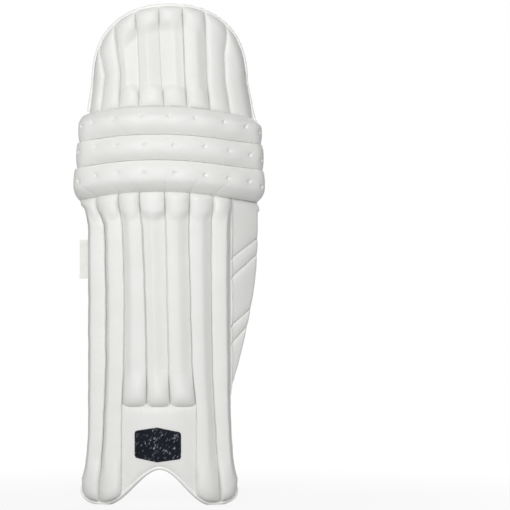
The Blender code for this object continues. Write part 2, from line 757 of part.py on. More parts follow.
def make_top():
    hinge = pivot("top_flex_axis", (0.0, FLEX_AXIS_Y, KNEE_TOP - FLEX_DROP))
    stations = top_stations()
    levels = (0.0, 0.06, 0.17, 0.25, 0.5, 0.8, 0.9, 0.97, 1.0)

    def cover_place(station, level, side):
        out = SEAM_OUT + top_rise(station, level) - COVER * (1 - side)
        return dome_point(top_share(station), level, out, TOP_INSET)

    slab("top_cover", "white leather", stations, levels, cover_place, hinge)

    shares = [top_share(station) for station in stations]
    layer_levels = (0.0, 0.5, 1.0)

    def board_place(share, level, side):
        return dome_point(share, level, BOARD * side, TOP_INSET)

    slab("top_board", "foam", shares, layer_levels, board_place, hinge)

    def lining_place(share, level, side):
        return dome_point(share, level, -LAYER_GAP - LINING * (1 - side), TOP_INSET)

    slab("top_lining", "navy lining", shares, layer_levels, lining_place, hinge)

    for channel in range(1, len(TOP_CHANNELS) - 1):
        rib_first = channel >= CENTRE_SEAM
        marks = (0.18, 0.5) if rib_first else (0.5, 0.82)

        def rod_place(mark, level, side, channel=channel):
            out = FRONT_SEAT + CORE_FILL * ROD_FILL * TOP_RIB_RISE * side
            return dome_point(top_share((channel, mark)), level, out, TOP_INSET)

        slab(f"top_rod_{channel}", "foam", marks, (0.25, 0.5, 0.8), rod_place, hinge)

    crown = [0.5 - 0.5 * math.cos(math.pi * turn) for turn in steps(0.0, 1.0, 26)]
    side_levels = steps(0.08, 1.0, 3)
    route = [dome_point(0.0, level, BOARD / 2, BINDING_RADIUS) for level in side_levels[:-1]]
    route += [dome_point(share, 1.0, BOARD / 2, BINDING_RADIUS) for share in crown]
    route += [dome_point(1.0, level, BOARD / 2, BINDING_RADIUS) for level in side_levels[-2::-1]]
    tube("top_binding", "white binding", route, BINDING_RADIUS, hung_on=hinge)
    return hinge


# Straps


def flat(point):
    return Vector((point.x, point.y))


def around(middle, radius, count, start=0.0, turn=2.0 * math.pi):
    """Points on an arc in plan."""
    angles = [start + turn * index / count for index in range(count)]
    return [middle + radius * Vector((math.cos(angle), math.sin(angle))) for angle in angles]


def side_normals(path):
    """Left-hand normals of a run of points in plan."""
    normals = []
    for index in range(len(path)):
        run = path[min(index + 1, len(path) - 1)] - path[max(index - 1, 0)]
        normals.append(Vector((-run.y, run.x)).normalized())
    return normals


def web_outlines(eye, path, end_normal=None):
    """Outline of webbing that is folded round a bar at its eye and then follows a path."""
    run = path[0] - eye
    start = math.atan2(run.y, run.x)
    open_half = math.asin(0.5 * WEB / EYE_OUTER)
    turn = 2.0 * (math.pi - open_half)
    fold = around(eye, EYE_OUTER, 14, start + open_half, turn)
    fold.append(eye + EYE_OUTER * Vector((math.cos(start - open_half), math.sin(start - open_half))))
    normals = side_normals(path)
    normals[-1] = end_normal or normals[-1]
    right = [point - normal * WEB / 2 for point, normal in zip(path, normals)]
    left = [point + normal * WEB / 2 for point, normal in zip(path, normals)]
    return [fold + right + left[::-1], around(eye, EYE_HOLE, 12)[::-1]]


def ring_route(bar_a, bar_b, level, width):
    """A rectangle with rounded corners, upright, between two bars."""
    half_up = width / 2 + RING_CORNER + EYE_GAP
    run = (bar_a - bar_b).normalized()
    middle = (bar_a + bar_b) / 2
    half_run = (bar_a - bar_b).length / 2
    points = []
    for quarter, (side, lift) in enumerate(((1, 1), (-1, 1), (-1, -1), (1, -1))):
        for turn in (0.0, 45.0, 90.0):
            angle = math.radians(90.0 * quarter + turn)
            along = side * (half_run - RING_CORNER) + RING_CORNER * math.cos(angle)
            up = lift * (half_up - RING_CORNER) + RING_CORNER * math.sin(angle)
            spot = middle + run * along
            points.append(Vector((spot.x, spot.y, level + up)))
    return points


def make_strap(name, level, width, edge, outs, landing, tip_finish, hung_on=None, lands_on=None):
    """One strap: anchor, ring, webbing, tip and its two fastening patches.

    edge is the pad's edge that the anchor is sewn to. outs gives the distances out of that edge's surface,
    of the ring's outer bar and of its inner bar. landing gives the across and out of the pad's surface where
    the tip fastens.
    """
    sewn_across = edge - EDGE_STITCH
    bar_across = sewn_across - ANCHOR_LENGTH
    outer_bar = flat(wrap(bar_across, level, outs[1]))
    inner_bar = flat(wrap(bar_across - RING_REACH, level, outs[2]))
    sewn = flat(wrap(sewn_across, level, outs[0] - LAYER_GAP - WEB / 2))
    part_way = (outer_bar + 2.0 * sewn) / 3.0
    anchor_outlines = web_outlines(outer_bar, [part_way, sewn])
    extruded(name + "_anchor", "white webbing", anchor_outlines, level, width, hung_on)

    ring_axis = pivot(name + "_ring_axis", (outer_bar.x, outer_bar.y, level))
    route = ring_route(outer_bar, inner_bar, level, width)
    tube(name + "_ring", "white plastic", route, BAR_RADIUS, closed=True, hung_on=ring_axis)

    pile_out = landing[1] - LAYER_GAP
    hook_out = pile_out - PATCH - LAYER_GAP
    tip_out = hook_out - PATCH - LAYER_GAP
    strap_axis = pivot(name + "_strap_axis", (inner_bar.x, inner_bar.y, level))
    finish_point = flat(wrap(landing[0], level, tip_out - WEB / 2))
    run = finish_point - inner_bar
    lift = Vector((run.y, -run.x)).normalized()

    def strap_spot(share):
        return inner_bar + run * share + lift * 4.0 * STRAP_BOW * share * (1.0 - share)

    first = 2.0 * EYE_OUTER / run.length
    path = [strap_spot(share) for share in steps(first, 1.0, 16)]
    square = (flat(wrap(landing[0], level, 0.0)) - finish_point).normalized()
    strap_outlines = web_outlines(inner_bar, path, square)
    extruded(name + "_strap", "white webbing", strap_outlines, level, width, strap_axis)

    tip_start = landing[0] - LAYER_GAP
    tip_axis = pivot(name + "_tip_axis", wrap(tip_start, level, tip_out - WEB))

    def tip_place(share, side_level, side):
        across = tip_start - share * TIP_LENGTH
        narrowing = max(0.0, share - TIP_SHOULDER) / (1.0 - TIP_SHOULDER)
        half = width / 2 * mix(1.0, TIP_END, narrowing)
        return wrap(across, level + side_level * half, tip_out - WEB * (1 - side))

    slab(name + "_tip", tip_finish, (0.0, TIP_SHOULDER, 1.0), (-1.0, 1.0), tip_place, tip_axis)

    def patch_place(start, out, share_of_width):
        def place(share, side_level, side):
            height = level + side_level * share_of_width * width / 2
            return wrap(start - share * PATCH_LENGTH, height, out - PATCH * (1 - side))
        return place

    ends = (0.0, 1.0)
    sides = (-1.0, 1.0)
    hook = patch_place(tip_start - LAYER_GAP, hook_out, HOOK_SHARE)
    slab(name + "_hook_patch", "pile", ends, sides, hook, tip_axis)
    pile = patch_place(tip_start + LAYER_GAP, pile_out, PILE_SHARE)
    slab(name + "_pile_patch", "pile", ends, sides, pile, lands_on)
    return strap_spot, strap_axis


def make_strap_badge(strap_spot, level, width, strap_axis):
    """The six-sided patch sewn on the outside of the calf strap."""
    half_share = 0.5 * STRAP_BADGE_WIDTH / (strap_spot(1.0) - strap_spot(0.0)).length
    point = STRAP_BADGE_POINT / STRAP_BADGE_WIDTH
    marks = [0.0] + steps(point, 1.0 - point, 6) + [1.0]
    path = [strap_spot(STRAP_BADGE_PLACE + half_share * (2.0 * mark - 1.0)) for mark in marks]
    normals = side_normals(path)

    def place(number, side_level, side):
        half = width / 2 * (STRAP_BADGE_BLUNT if number in (0, len(marks) - 1) else 1.0)
        reach = WEB / 2 + LAYER_GAP + PATCH * (1 - side)
        spot = path[number] - normals[number] * reach
        return Vector((spot.x, spot.y, level + side_level * half))

    slab("calf_strap_badge", "navy lining", range(len(marks)), (-1.0, 1.0), place, strap_axis)


def make_straps(wing_hinge, knee_hinge):
    bar_stand = EYE_OUTER + LAYER_GAP
    over_bolster = LEG_SEAT - BOLSTER_CROWN - bar_stand - BAR_RADIUS
    over_knee_pad = -LAYER_GAP - KNEE_PAD_CROWN - bar_stand
    wing_side = -LAYER_GAP - WING_SWELL
    shin_landing = (INNER_BOLSTER_FAR - LANDING_CLEAR, SKIN_OUT)
    knee_landing = (KNEE_INNER + INNER_KNEE_MARGIN - LANDING_CLEAR, 0.0)

    ankle_outs = (SKIN_OUT, SKIN_OUT - bar_stand - BAR_RADIUS, over_bolster)
    make_strap("ankle", ANKLE_LEVEL, WIDE_STRAP, SHIN_OUTER, ankle_outs, shin_landing, "white plastic")

    anchor_foot = (CALF_LEVEL - WIDE_STRAP / 2 - WING_LOW) / (KNEE_BOTTOM - WING_LOW)
    calf_edge = WING_INNER + wing_width(anchor_foot) - WING_INSET
    calf_outs = (wing_side, wing_side - bar_stand, wing_side - bar_stand)
    strap_spot, strap_axis = make_strap("calf", CALF_LEVEL, WIDE_STRAP, calf_edge, calf_outs,
                                        shin_landing, "black rubber", hung_on=wing_hinge)
    make_strap_badge(strap_spot, CALF_LEVEL, WIDE_STRAP, strap_axis)

    knee_outs = (0.0, over_knee_pad + BAR_RADIUS, over_knee_pad)
    make_strap("knee", KNEE_STRAP_LEVEL, KNEE_STRAP, KNEE_OUTER, knee_outs, knee_landing, "black rubber",
               hung_on=knee_hinge, lands_on=knee_hinge)


make_shin()
make_leg_side()
make_straps(make_wing(), make_knee())
make_top()
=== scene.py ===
import json
import math

import bpy
import numpy as np
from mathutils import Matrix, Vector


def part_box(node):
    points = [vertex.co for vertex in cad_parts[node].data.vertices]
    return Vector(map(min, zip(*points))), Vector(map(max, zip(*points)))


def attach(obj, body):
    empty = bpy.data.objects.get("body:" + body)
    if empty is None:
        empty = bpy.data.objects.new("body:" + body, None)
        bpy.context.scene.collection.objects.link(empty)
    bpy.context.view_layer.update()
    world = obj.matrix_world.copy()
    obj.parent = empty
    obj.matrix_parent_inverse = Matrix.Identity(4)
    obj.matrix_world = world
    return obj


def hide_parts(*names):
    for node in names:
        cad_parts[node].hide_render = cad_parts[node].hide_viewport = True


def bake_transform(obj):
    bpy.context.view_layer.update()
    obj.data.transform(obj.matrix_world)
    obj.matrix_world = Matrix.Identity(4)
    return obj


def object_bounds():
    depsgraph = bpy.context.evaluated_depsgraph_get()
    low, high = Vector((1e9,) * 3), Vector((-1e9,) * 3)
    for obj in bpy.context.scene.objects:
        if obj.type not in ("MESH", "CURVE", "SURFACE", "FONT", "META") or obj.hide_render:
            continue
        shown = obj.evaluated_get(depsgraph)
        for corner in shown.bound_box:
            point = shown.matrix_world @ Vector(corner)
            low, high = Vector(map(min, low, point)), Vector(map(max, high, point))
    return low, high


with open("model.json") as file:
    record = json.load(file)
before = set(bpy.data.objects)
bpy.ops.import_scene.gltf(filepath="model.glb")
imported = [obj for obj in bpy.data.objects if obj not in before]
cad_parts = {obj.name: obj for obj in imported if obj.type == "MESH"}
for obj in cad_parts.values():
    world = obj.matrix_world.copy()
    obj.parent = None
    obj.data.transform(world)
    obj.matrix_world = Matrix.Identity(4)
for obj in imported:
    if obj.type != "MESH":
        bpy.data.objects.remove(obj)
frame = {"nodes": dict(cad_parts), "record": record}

cad_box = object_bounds()
cad = frame["nodes"]


# Camera and studio
# The pad stands upright and is seen square from the front, at the left of a square picture, on plain white.
# A long lens far away keeps its sides straight. Two large soft lamps light the front and the leg side alike.
PIXEL = 0.00139
PICTURE = 510
SHIN_LINE_PIXEL = 163
FOOT_PIXEL = 506
CAMERA_DISTANCE = 4.5
SENSOR = 36.0
LAMPS = (("front_lamp", (-0.35, -2.9, 1.4)), ("leg_side_lamp", (0.35, 2.9, 1.4)))
LAMP_AIM = (0.0, 0.0, 0.36)
LAMP_SIZE = 1.5
LAMP_POWER = 58.0
AMBIENT = 0.38
FLOOR_HALF = 9.0
# Distances from the pad over which the floor's painted shade fades out, and the floor's glow there and far off
FLOOR_SHADOW = (0.2, 0.9)
FLOOR_GLOW = (0.88, 1.0)


def linear(code):
    """An sRGB hex colour as linear red, green, blue and alpha."""
    parts = [int(code[place:place + 2], 16) / 255 for place in (1, 3, 5)]
    return [part / 12.92 if part <= 0.04045 else ((part + 0.055) / 1.055) ** 2.4 for part in parts] + [1.0]


def wire(node, sockets):
    """Sets a node's input sockets, or links them to other nodes' outputs."""
    for socket, value in sockets.items():
        if isinstance(value, bpy.types.NodeSocket):
            node.id_data.links.new(value, node.inputs[socket])
        else:
            node.inputs[socket].default_value = value


def put(tree, kind, sockets=None, **settings):
    """Adds a node with its settings, and sets or links its input sockets."""
    node = tree.nodes.new(kind)
    for setting, value in settings.items():
        setattr(node, setting, value)
    wire(node, sockets or {})
    return node


def maths(tree, operation, *values):
    """The result of an operation on output sockets and numbers."""
    return put(tree, "ShaderNodeMath", dict(enumerate(values)), operation=operation).outputs[0]


def ranged(tree, value, start, end, low, high, **settings):
    """An output socket's value, taken from between start and end to between low and high."""
    ends = {"From Min": start, "From Max": end, "To Min": low, "To Max": high}
    return put(tree, "ShaderNodeMapRange", {"Value": value, **ends}, **settings).outputs[0]


def link(item):
    bpy.context.scene.collection.objects.link(item)
    return item


camera = link(bpy.data.objects.new("camera", bpy.data.cameras.new("camera")))
camera.data.sensor_width = SENSOR
camera.data.lens = SENSOR * CAMERA_DISTANCE / (PICTURE * PIXEL)
camera.location = ((PICTURE / 2 - SHIN_LINE_PIXEL) * PIXEL, -CAMERA_DISTANCE, (FOOT_PIXEL - PICTURE / 2) * PIXEL)
camera.rotation_euler = (math.pi / 2, 0.0, 0.0)
bpy.context.scene.camera = camera
bpy.context.scene.view_settings.view_transform = "Standard"

for lamp_name, place in LAMPS:
    lamp = link(bpy.data.objects.new(lamp_name, bpy.data.lights.new(lamp_name, "AREA")))
    lamp.data.size = LAMP_SIZE
    lamp.data.energy = LAMP_POWER
    lamp.location = place
    aim = np.array(LAMP_AIM) - np.array(place)
    heading = math.atan2(aim[0], -aim[1]) + math.pi
    lamp.rotation_euler = (math.atan2(math.hypot(aim[0], aim[1]), -aim[2]), 0.0, heading)

world = bpy.data.worlds.new("white_studio")
bpy.context.scene.world = world
world.use_nodes = True
tree = world.node_tree
tree.nodes.clear()
rays = put(tree, "ShaderNodeLightPath").outputs
seen = maths(tree, "MAXIMUM", rays["Is Camera Ray"], rays["Is Transmission Ray"])
lit, white = (put(tree, "ShaderNodeBackground", {"Color": linear("#FFFFFF"), "Strength": strength}).outputs[0]
              for strength in (AMBIENT, 1.0))
sky = put(tree, "ShaderNodeMixShader", {0: seen, 1: lit, 2: white}).outputs[0]
put(tree, "ShaderNodeOutputWorld", {"Surface": sky})

# Backdrop paper: white to the eye far off. Close round the pad's foot its glow fades, which paints a faint grey shade
# there and also lets the pad's real shadow show
floor_paper = bpy.data.materials.new("white_backdrop_paper")
floor_paper.use_nodes = True
tree = floor_paper.node_tree
tree.nodes.clear()
spot = put(tree, "ShaderNodeNewGeometry").outputs["Position"]
from_pad = put(tree, "ShaderNodeVectorMath", {0: spot}, operation="LENGTH").outputs["Value"]
# Painted shade: close round the pad the camera sees less glow, so the paper greys there even outside the pad's shadow
whiten = ranged(tree, from_pad, *FLOOR_SHADOW, *FLOOR_GLOW, interpolation_type="SMOOTHSTEP")
seen = maths(tree, "MULTIPLY", put(tree, "ShaderNodeLightPath").outputs["Is Camera Ray"], whiten)
paper = put(tree, "ShaderNodeBsdfDiffuse", {"Color": linear("#C8C8C8")}).outputs[0]
glow = put(tree, "ShaderNodeEmission", {"Color": linear("#FFFFFF"), "Strength": 1.0}).outputs[0]
floor_mix = put(tree, "ShaderNodeMixShader", {0: seen, 1: paper, 2: glow}).outputs[0]
put(tree, "ShaderNodeOutputMaterial", {"Surface": floor_mix})

floor_corners = [(x * FLOOR_HALF, y * FLOOR_HALF, cad_box[0][2]) for x, y in ((-1, -1), (1, -1), (1, 1), (-1, 1))]
floor_mesh = bpy.data.meshes.new("floor")
floor_mesh.from_pydata(floor_corners, [], [(0, 1, 2, 3)])
floor_mesh.materials.append(floor_paper)
floor = link(bpy.data.objects.new("floor", floor_mesh))


# Boards and foam cores
# The stiffeners inside the pad are cut from closed-cell foam. The three boards are faced with leathercloth, and the
# cores lie in mesh covers. All are sewn in, so their solids stay as they are and only get their finish.


def finish(name, space="Object"):
    """A new material, its node tree, its shader, and the space that its pattern is drawn in."""
    material = bpy.data.materials.new(name)
    material.use_nodes = True
    tree = material.node_tree
    return material, tree, tree.nodes["Principled BSDF"], put(tree, "ShaderNodeTexCoord").outputs[space]


def between(tree, share, first, second):
    """A colour between two, each a hex code or an output socket."""
    first, second = (linear(colour) if isinstance(colour, str) else colour for colour in (first, second))
    return put(tree, "ShaderNodeMix", {0: share, 6: first, 7: second}, data_type="RGBA").outputs[2]


def relief(tree, height, strength, depth, **settings):
    """The direction of a surface with a fine relief, of a depth in metres."""
    sockets = {"Height": height, "Strength": strength, "Distance": depth}
    return put(tree, "ShaderNodeBump", sockets, **settings).outputs[0]


def patterned(name, kind, pattern, tones, sockets, bump=None, output="Fac", **settings):
    """A finish with one pattern, which gives the tone between two and any relief.

    sockets holds values of the shader, and bump the strength and the depth of the relief.
    """
    material, tree, shader, place = finish(name)
    drawn = put(tree, kind, {"Vector": place, **pattern}, **settings).outputs[output]
    wire(shader, {"Base Color": between(tree, drawn, *tones), **sockets})
    if bump:
        wire(shader, {"Normal": relief(tree, drawn, *bump)})
    return material


def dress(name, material):
    """Gives a CAD piece that stays as it is its finish."""
    cad[name].data.materials.clear()
    cad[name].data.materials.append(material)


# Cut polyethylene foam: matt cream with fine open cells about 1 mm across
cut_foam = patterned("cut_polyethylene_foam", "ShaderNodeTexVoronoi", {"Scale": 1000.0}, ("#E3DCC6", "#CFC6AE"),
                     {"Roughness": 0.9}, (0.4, 0.0004), "Distance")

# Polyurethane leathercloth, embossed with a fine pebble grain about 1.6 mm across: a soft low sheen, slightly
# uneven cream white
leathercloth, tree, shader, place = finish("white_polyurethane_leathercloth")
blotch = put(tree, "ShaderNodeTexNoise", {"Vector": place, "Scale": 22.0, "Detail": 3.0}).outputs["Fac"]
pebble = put(tree, "ShaderNodeTexVoronoi", {"Vector": place, "Scale": 620.0}, feature="SMOOTH_F1").outputs["Distance"]
crinkle = put(tree, "ShaderNodeTexNoise", {"Vector": place, "Scale": 260.0, "Detail": 4.0}).outputs["Fac"]
wire(shader, {"Base Color": between(tree, blotch, "#F0F0EE", "#E8E8E5"), "IOR": 1.46,
              "Normal": relief(tree, maths(tree, "ADD", pebble, crinkle), 0.35, 0.00025),
              "Roughness": ranged(tree, crinkle, 0.0, 1.0, 0.42, 0.58)})

for name in cad:
    if name.endswith("_core"):
        dress(name, cut_foam)
for name in ("shin_board", "knee_board", "top_board"):
    dress(name, leathercloth)


# Shin cover
# White synthetic leather over the front of the shin, sewn down along upright seams into seven padded channels.
# Each rib is flat-topped and slopes down to one seam. The channels swell into bulbs where the canes stop, at the
# knee and at the foot.
WRAP_RADIUS = 0.170
SEAM_OUT = 0.0065
COVER = 0.0016
KNEE_BOTTOM = 0.438
KNEE_DIP = 0.014
KNEE_MIDDLE = -0.008
KNEE_HALF = 0.120
LOW_KNEE_BEND = (0.410, 0.436)
BEND_LINE = 0.025
BEND_ROOM = 0.0008
BEND_ANGLE = math.radians(6.0)
BEND_MARGIN = 1.15
INSTEP_TOP = 0.138
LOBE_BASE = 0.100
CROWN_BASE = 0.402
RIB_RISE = 0.0108
RIB_CROWN = 0.0010
RIB_ROUND = 0.0012
LOW_RIB_RISE = 0.0075
LEAST_STRIP = 0.14
WIDE_STRIP = 0.2
STRIP_STEP = 0.3
FACE_FRONT = 0.6
BULB_SWELL = 0.0042
BULB_BOW = 0.007
KNEE_BULB = (0.394, 0.410)
INSTEP_BULB = (0.158, 0.192)
FOOT_BULB = (0.030, 0.072)
INSTEP_ROUND = 0.017
FOOT_ROUND = 0.018
KNEE_ROUND = 0.012
SCALLOP = 0.004
WANDER = 0.0004
WANDER_LENGTH = 0.09
PUCKER = (0.0003, 0.003, 0.0022)
PUCKER_LENGTH = 0.0085
SHARP_ANGLE = math.radians(60.0)
STRIP_SHARES = (0.0, 0.16, 0.29, 0.39, 0.41, 0.36, 0.12)
CENTRE_CHANNEL = 4
LOW_CHANNEL = 3
PANEL_CHANNELS = (2, 3, 4)
CHANNEL_STEPS = 31
# Distances of the edges and seams from the shin line, in mm, at heights in mm
SEAM_HEIGHTS = (0, 20, 50, 90, 140, 193, 300, 390, 418, 428, 440)
SEAM_PLACES = (
    (-114, -115, -109.5, -106, -105.5, -105.5, -105.5, -106, -110.5, -115.5, -117.5),
    (-89.5, -89.5, -87, -84.5, -82, -80, -80, -82.1, -91.7, -93, -94),
    (-57.5, -57.5, -57.5, -57.5, -57, -54.5, -53.5, -56.4, -61.2, -61.7, -62),
    (-23, -23, -23, -23, -22.5, -22.5, -25, -28.8, -32.5, -32.8, -33),
    (9.5, 9.5, 9.5, 9.5, 9.5, 8.5, 6, 4.6, 2.8, 2.6, 2.5),
    (46, 46, 46, 46.5, 46, 41, 38.2, 36, 37, 37, 37),
    (80, 79.5, 77, 74.5, 71.5, 69, 67.4, 67.4, 69.5, 69.8, 70),
    (102.5, 103.5, 99, 95.5, 93.8, 93.5, 92.4, 93.1, 95.2, 95.4, 95.5),
)


def wrap(across, up, out):
    """Bends a flat layout round the leg: distance across, height, and distance out from the board's back."""
    across, up, out = np.broadcast_arrays(across, up, out)
    angle = across / WRAP_RADIUS
    reach = WRAP_RADIUS + out
    return np.stack((reach * np.sin(angle), WRAP_RADIUS - reach * np.cos(angle), up), axis=-1)


def across_at(x, out):
    """Distance across the bend of a place seen at x from the front."""
    return WRAP_RADIUS * np.arcsin(x / (WRAP_RADIUS + out))


def seen_at(across, out):
    """Where a place on the bend is seen from the front."""
    return (WRAP_RADIUS + out) * np.sin(across / WRAP_RADIUS)


def mix(low, high, share):
    return low + (high - low) * share


def nearer(share):
    """The share of the way from the nearer of two ends."""
    return np.minimum(share, 1.0 - share)


def off_middle(share):
    """-1 and 1 at two ends, and 0 half way."""
    return 2.0 * share - 1.0


def ease(value, low, high):
    """0 below low, 1 above high, and a smooth step between."""
    share = np.clip((value - low) / (high - low), 0.0, 1.0)
    return share * share * (3.0 - 2.0 * share)


def bell(off, width):
    """1 where off is 0, fading on both sides over about a width."""
    return np.exp(-(off / width) ** 2)


def ridge(off, height, place, width):
    """A rise of a height at a place, fading on both sides over about a width."""
    return height * bell(off - place, width)


def rounded(from_edge, radius):
    """Rise of a quarter round at a distance from the edge it starts at."""
    short = 1.0 - np.clip(from_edge / radius, 0.0, 1.0)
    return np.sqrt(1.0 - short ** 2)


def pillow(share, fullness):
    """Rise of a stuffed tube across its width, from 0 at both seams to 1."""
    return (1.0 - np.abs(off_middle(np.clip(share, 0.0, 1.0))) ** fullness) ** (1.0 / fullness)


def waver(place, length, seed):
    """A slow uneven wave between -1 and 1, as in hand-guided sewing."""
    turn = 2.0 * math.pi * place / length
    return (np.sin(turn + seed) + np.sin(1.7 * turn + 2.3 * seed) + np.sin(2.9 * turn + 4.1 * seed)) / 3.0


def quilt(name, front, back, layout=None):
    """A closed sewn piece from a grid of points for its front and one for its back, rows upwards, columns to +X.

    layout gives each point's place on the flat cloth in metres, for the weave.
    """
    rows, columns = front.shape[:2]
    count = rows * columns
    index = np.arange(count).reshape(rows, columns)
    face = np.stack((index[:-1, :-1], index[:-1, 1:], index[1:, 1:], index[1:, :-1]), axis=-1).reshape(-1, 4)
    rim = np.concatenate((index[0, :-1], index[:-1, -1], index[-1, :0:-1], index[:0:-1, 0]))
    after = np.roll(rim, -1)
    side = np.stack((rim, rim + count, after + count, after), axis=-1)
    faces = np.concatenate((face, face[:, ::-1] + count, side))
    mesh = bpy.data.meshes.new(name)
    mesh.from_pydata(np.concatenate((front.reshape(-1, 3), back.reshape(-1, 3))).tolist(), [], faces.tolist())
    if layout is not None:
        corners = np.empty(len(mesh.loops), dtype=np.int32)
        mesh.loops.foreach_get("vertex_index", corners)
        cloth = mesh.uv_layers.new(name="cloth")
        cloth.data.foreach_set("uv", layout.reshape(-1, 2)[corners % count].astype(np.float32).ravel())
    mesh.shade_smooth()
    mesh.set_sharp_from_angle(angle=SHARP_ANGLE)
    return link(bpy.data.objects.new(name, mesh))


def lay(name, across, height, front, back, layout=None):
    """A sewn piece wrapped round the leg, its front and back at their distances out."""
    return quilt(name, wrap(across, height, front), wrap(across, height, back), layout)


def sew_on(piece, material, body, slot, *stands_for):
    """Finishes a piece, lets it ride on its body, and lets it stand for its CAD solids."""
    piece.data.materials.append(material)
    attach(piece, body)
    if stands_for:
        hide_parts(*stands_for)


def sew_over(piece, material, bodies, heights, slot, *stands_for):
    """Finishes a soft piece that crosses the joint between two bodies and lets it stand for its CAD solids. The bodies
    and the heights that it would bend between are not used.
    """
    piece.data.materials.append(material)
    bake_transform(piece)
    if stands_for:
        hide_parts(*stands_for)


ARCH_MIDDLE = across_at(-0.004, SEAM_OUT)
ARCH_INNER = 0.079
ARCH_OUTER = 0.072
ARCH_HEIGHT = 0.0505
LOBE_ROUND = 0.022
LOBE_SIDES = (across_at(-0.1155, SEAM_OUT), across_at(0.1040, SEAM_OUT))
TAPE_ROOM = 0.0046
SHIN_ACROSS = (across_at(-0.103, SEAM_OUT), across_at(0.092, SEAM_OUT))


def foot_reach(across):
    return (across - ARCH_MIDDLE) / np.where(across < ARCH_MIDDLE, ARCH_INNER, ARCH_OUTER)


def foot_edge(across):
    """Height of the pad's foot end: a bell-shaped arch between two round lobes."""
    reach = np.abs(foot_reach(across))
    arch = ARCH_HEIGHT * (0.5 + 0.5 * np.cos(math.pi * np.minimum(reach, 1.0) ** 0.92))
    corner = np.abs(foot_reach(np.where(across < ARCH_MIDDLE, *LOBE_SIDES)))
    past = np.clip((reach - 1.0) / (corner - 1.0), 0.0, 1.0)
    return np.where(reach < 1.0, arch, LOBE_ROUND * (1.0 - (1.0 - past ** 2.4) ** (1.0 / 2.4)))


def sewn_edge(across):
    """The foot end of the layers, inside the tape that is folded over it."""
    return foot_edge(across) + TAPE_ROOM


def knee_reach(across):
    return (across - KNEE_MIDDLE) / KNEE_HALF


def arched(level, across):
    """The seams at the knee dip towards their ends."""
    return level - KNEE_DIP * knee_reach(across) ** 2


def seam_half(across, out):
    """Half the room at a knee seam, which opens away from the line that it bends on."""
    away = np.abs(wrap(across, 0.0, out)[..., 1] - BEND_LINE)
    return (BEND_ROOM + away * BEND_MARGIN * math.tan(BEND_ANGLE)) / 2


def seam_x(seam, height):
    return np.interp(height * 1000.0, SEAM_HEIGHTS, SEAM_PLACES[seam]) / 1000.0


def seam_across(seam, height):
    return across_at(seam_x(seam, height), SEAM_OUT)


def shin_height(level, across):
    """Rows are level on the shin, and follow the foot edge below and the knee seam above."""
    low = mix(sewn_edge(across), LOBE_BASE, level / LOBE_BASE)
    crown = mix(CROWN_BASE, arched(KNEE_BOTTOM, across), (level - CROWN_BASE) / (KNEE_BOTTOM - CROWN_BASE))
    return np.where(level < LOBE_BASE, low, np.where(level > CROWN_BASE, crown, level))


def ribbed(from_centre, strip, is_low, width, tilt):
    """Rise across a channel: a flat-topped rib that drops at its centre side and slopes down to its far seam.

    The rib's top leans by tilt, so that it faces the front. A low channel has a ridge instead.
    """
    foot = STRIP_STEP if strip > WIDE_STRIP else 0.0
    strip = max(strip, LEAST_STRIP)
    ramp = mix(foot, 1.0, (np.maximum((1.0 - from_centre) / strip, 0.001) ** -7 + 1.0) ** (-1.0 / 7.0))
    rib = np.clip(from_centre / (1.0 - strip), 0.0, 1.0)
    if is_low:
        return LOW_RIB_RISE * ramp * mix(0.05, 1.0, rib)
    crown = RIB_RISE + RIB_CROWN * pillow(rib, 2.0) + tilt * (rib - 0.5) * (1.0 - strip) * width
    return crown * ramp * rounded(from_centre * width, RIB_ROUND)


def facing(left, right):
    """How far a rib between two seams leans, so that its top faces the front."""
    return FACE_FRONT * np.abs(left + right) / (2.0 * WRAP_RADIUS)


def channel_rise(channel, share, height, width, tilt, from_foot, from_knee):
    """How far the cover swells above its seams at a share of the way across a channel."""
    from_centre = 1.0 - share if channel < CENTRE_CHANNEL else share
    is_low = channel == LOW_CHANNEL
    rise = ribbed(from_centre, STRIP_SHARES[channel], is_low, width, tilt)
    bulb = (BULB_SWELL + (LOW_RIB_RISE if is_low else RIB_RISE)) * mix(0.15, 1.0, pillow(share, 2.3))
    bow = BULB_BOW * off_middle(share) ** 2
    rise = mix(rise, bulb, ease(height, KNEE_BULB[0] + bow, KNEE_BULB[1] + bow))
    if channel in PANEL_CHANNELS:
        foot_bulb = (RIB_RISE + BULB_SWELL) * mix(0.1, 1.0, pillow(share, 2.2))
        rise = mix(rise, foot_bulb, 1.0 - ease(height, *INSTEP_BULB))
        rise = rise * rounded(height - INSTEP_TOP - SCALLOP * off_middle(share) ** 4, INSTEP_ROUND)
    else:
        rise = mix(rise, bulb, 1.0 - ease(height, *FOOT_BULB))
        rise = rise * mix(0.25, 1.0, rounded(from_foot, FOOT_ROUND))
    return rise * mix(0.3, 1.0, rounded(from_knee, KNEE_ROUND))


def cover_spot(channel, share, levels):
    """A place on the shin cover, at a share of the way across a channel: across, height and distance out."""
    left = seam_x(channel, levels) + WANDER * waver(levels, WANDER_LENGTH, channel)
    right = seam_x(channel + 1, levels) + WANDER * waver(levels, WANDER_LENGTH, channel + 1.0)
    x = mix(left, right, share)
    across = across_at(x, SEAM_OUT)
    height = shin_height(levels, across)
    from_foot = height - sewn_edge(across)
    from_knee = arched(KNEE_BOTTOM, across) - height
    rise = channel_rise(channel, share, height, right - left, facing(left, right), from_foot, from_knee)
    rise = rise * (1.0 + 0.03 * waver(height, 0.13, 5.0 + channel) + 0.006 * waver(height, 0.031, 9.0 + channel))
    near_seam = nearer(share) * (right - left)
    rise = rise + ridge(near_seam, *PUCKER) * waver(height, PUCKER_LENGTH, 3.0 + channel)
    out = SEAM_OUT + np.maximum(rise, 0.0)
    return across_at(x, out), height, out


def channel_steps(is_last):
    """Shares across a channel, closer together at its seams. All but the last leave their far seam to the next."""
    steps = np.linspace(0.0, 1.0, CHANNEL_STEPS)[None, :None if is_last else -1]
    return mix(steps, ease(steps, 0.0, 1.0), 0.7)


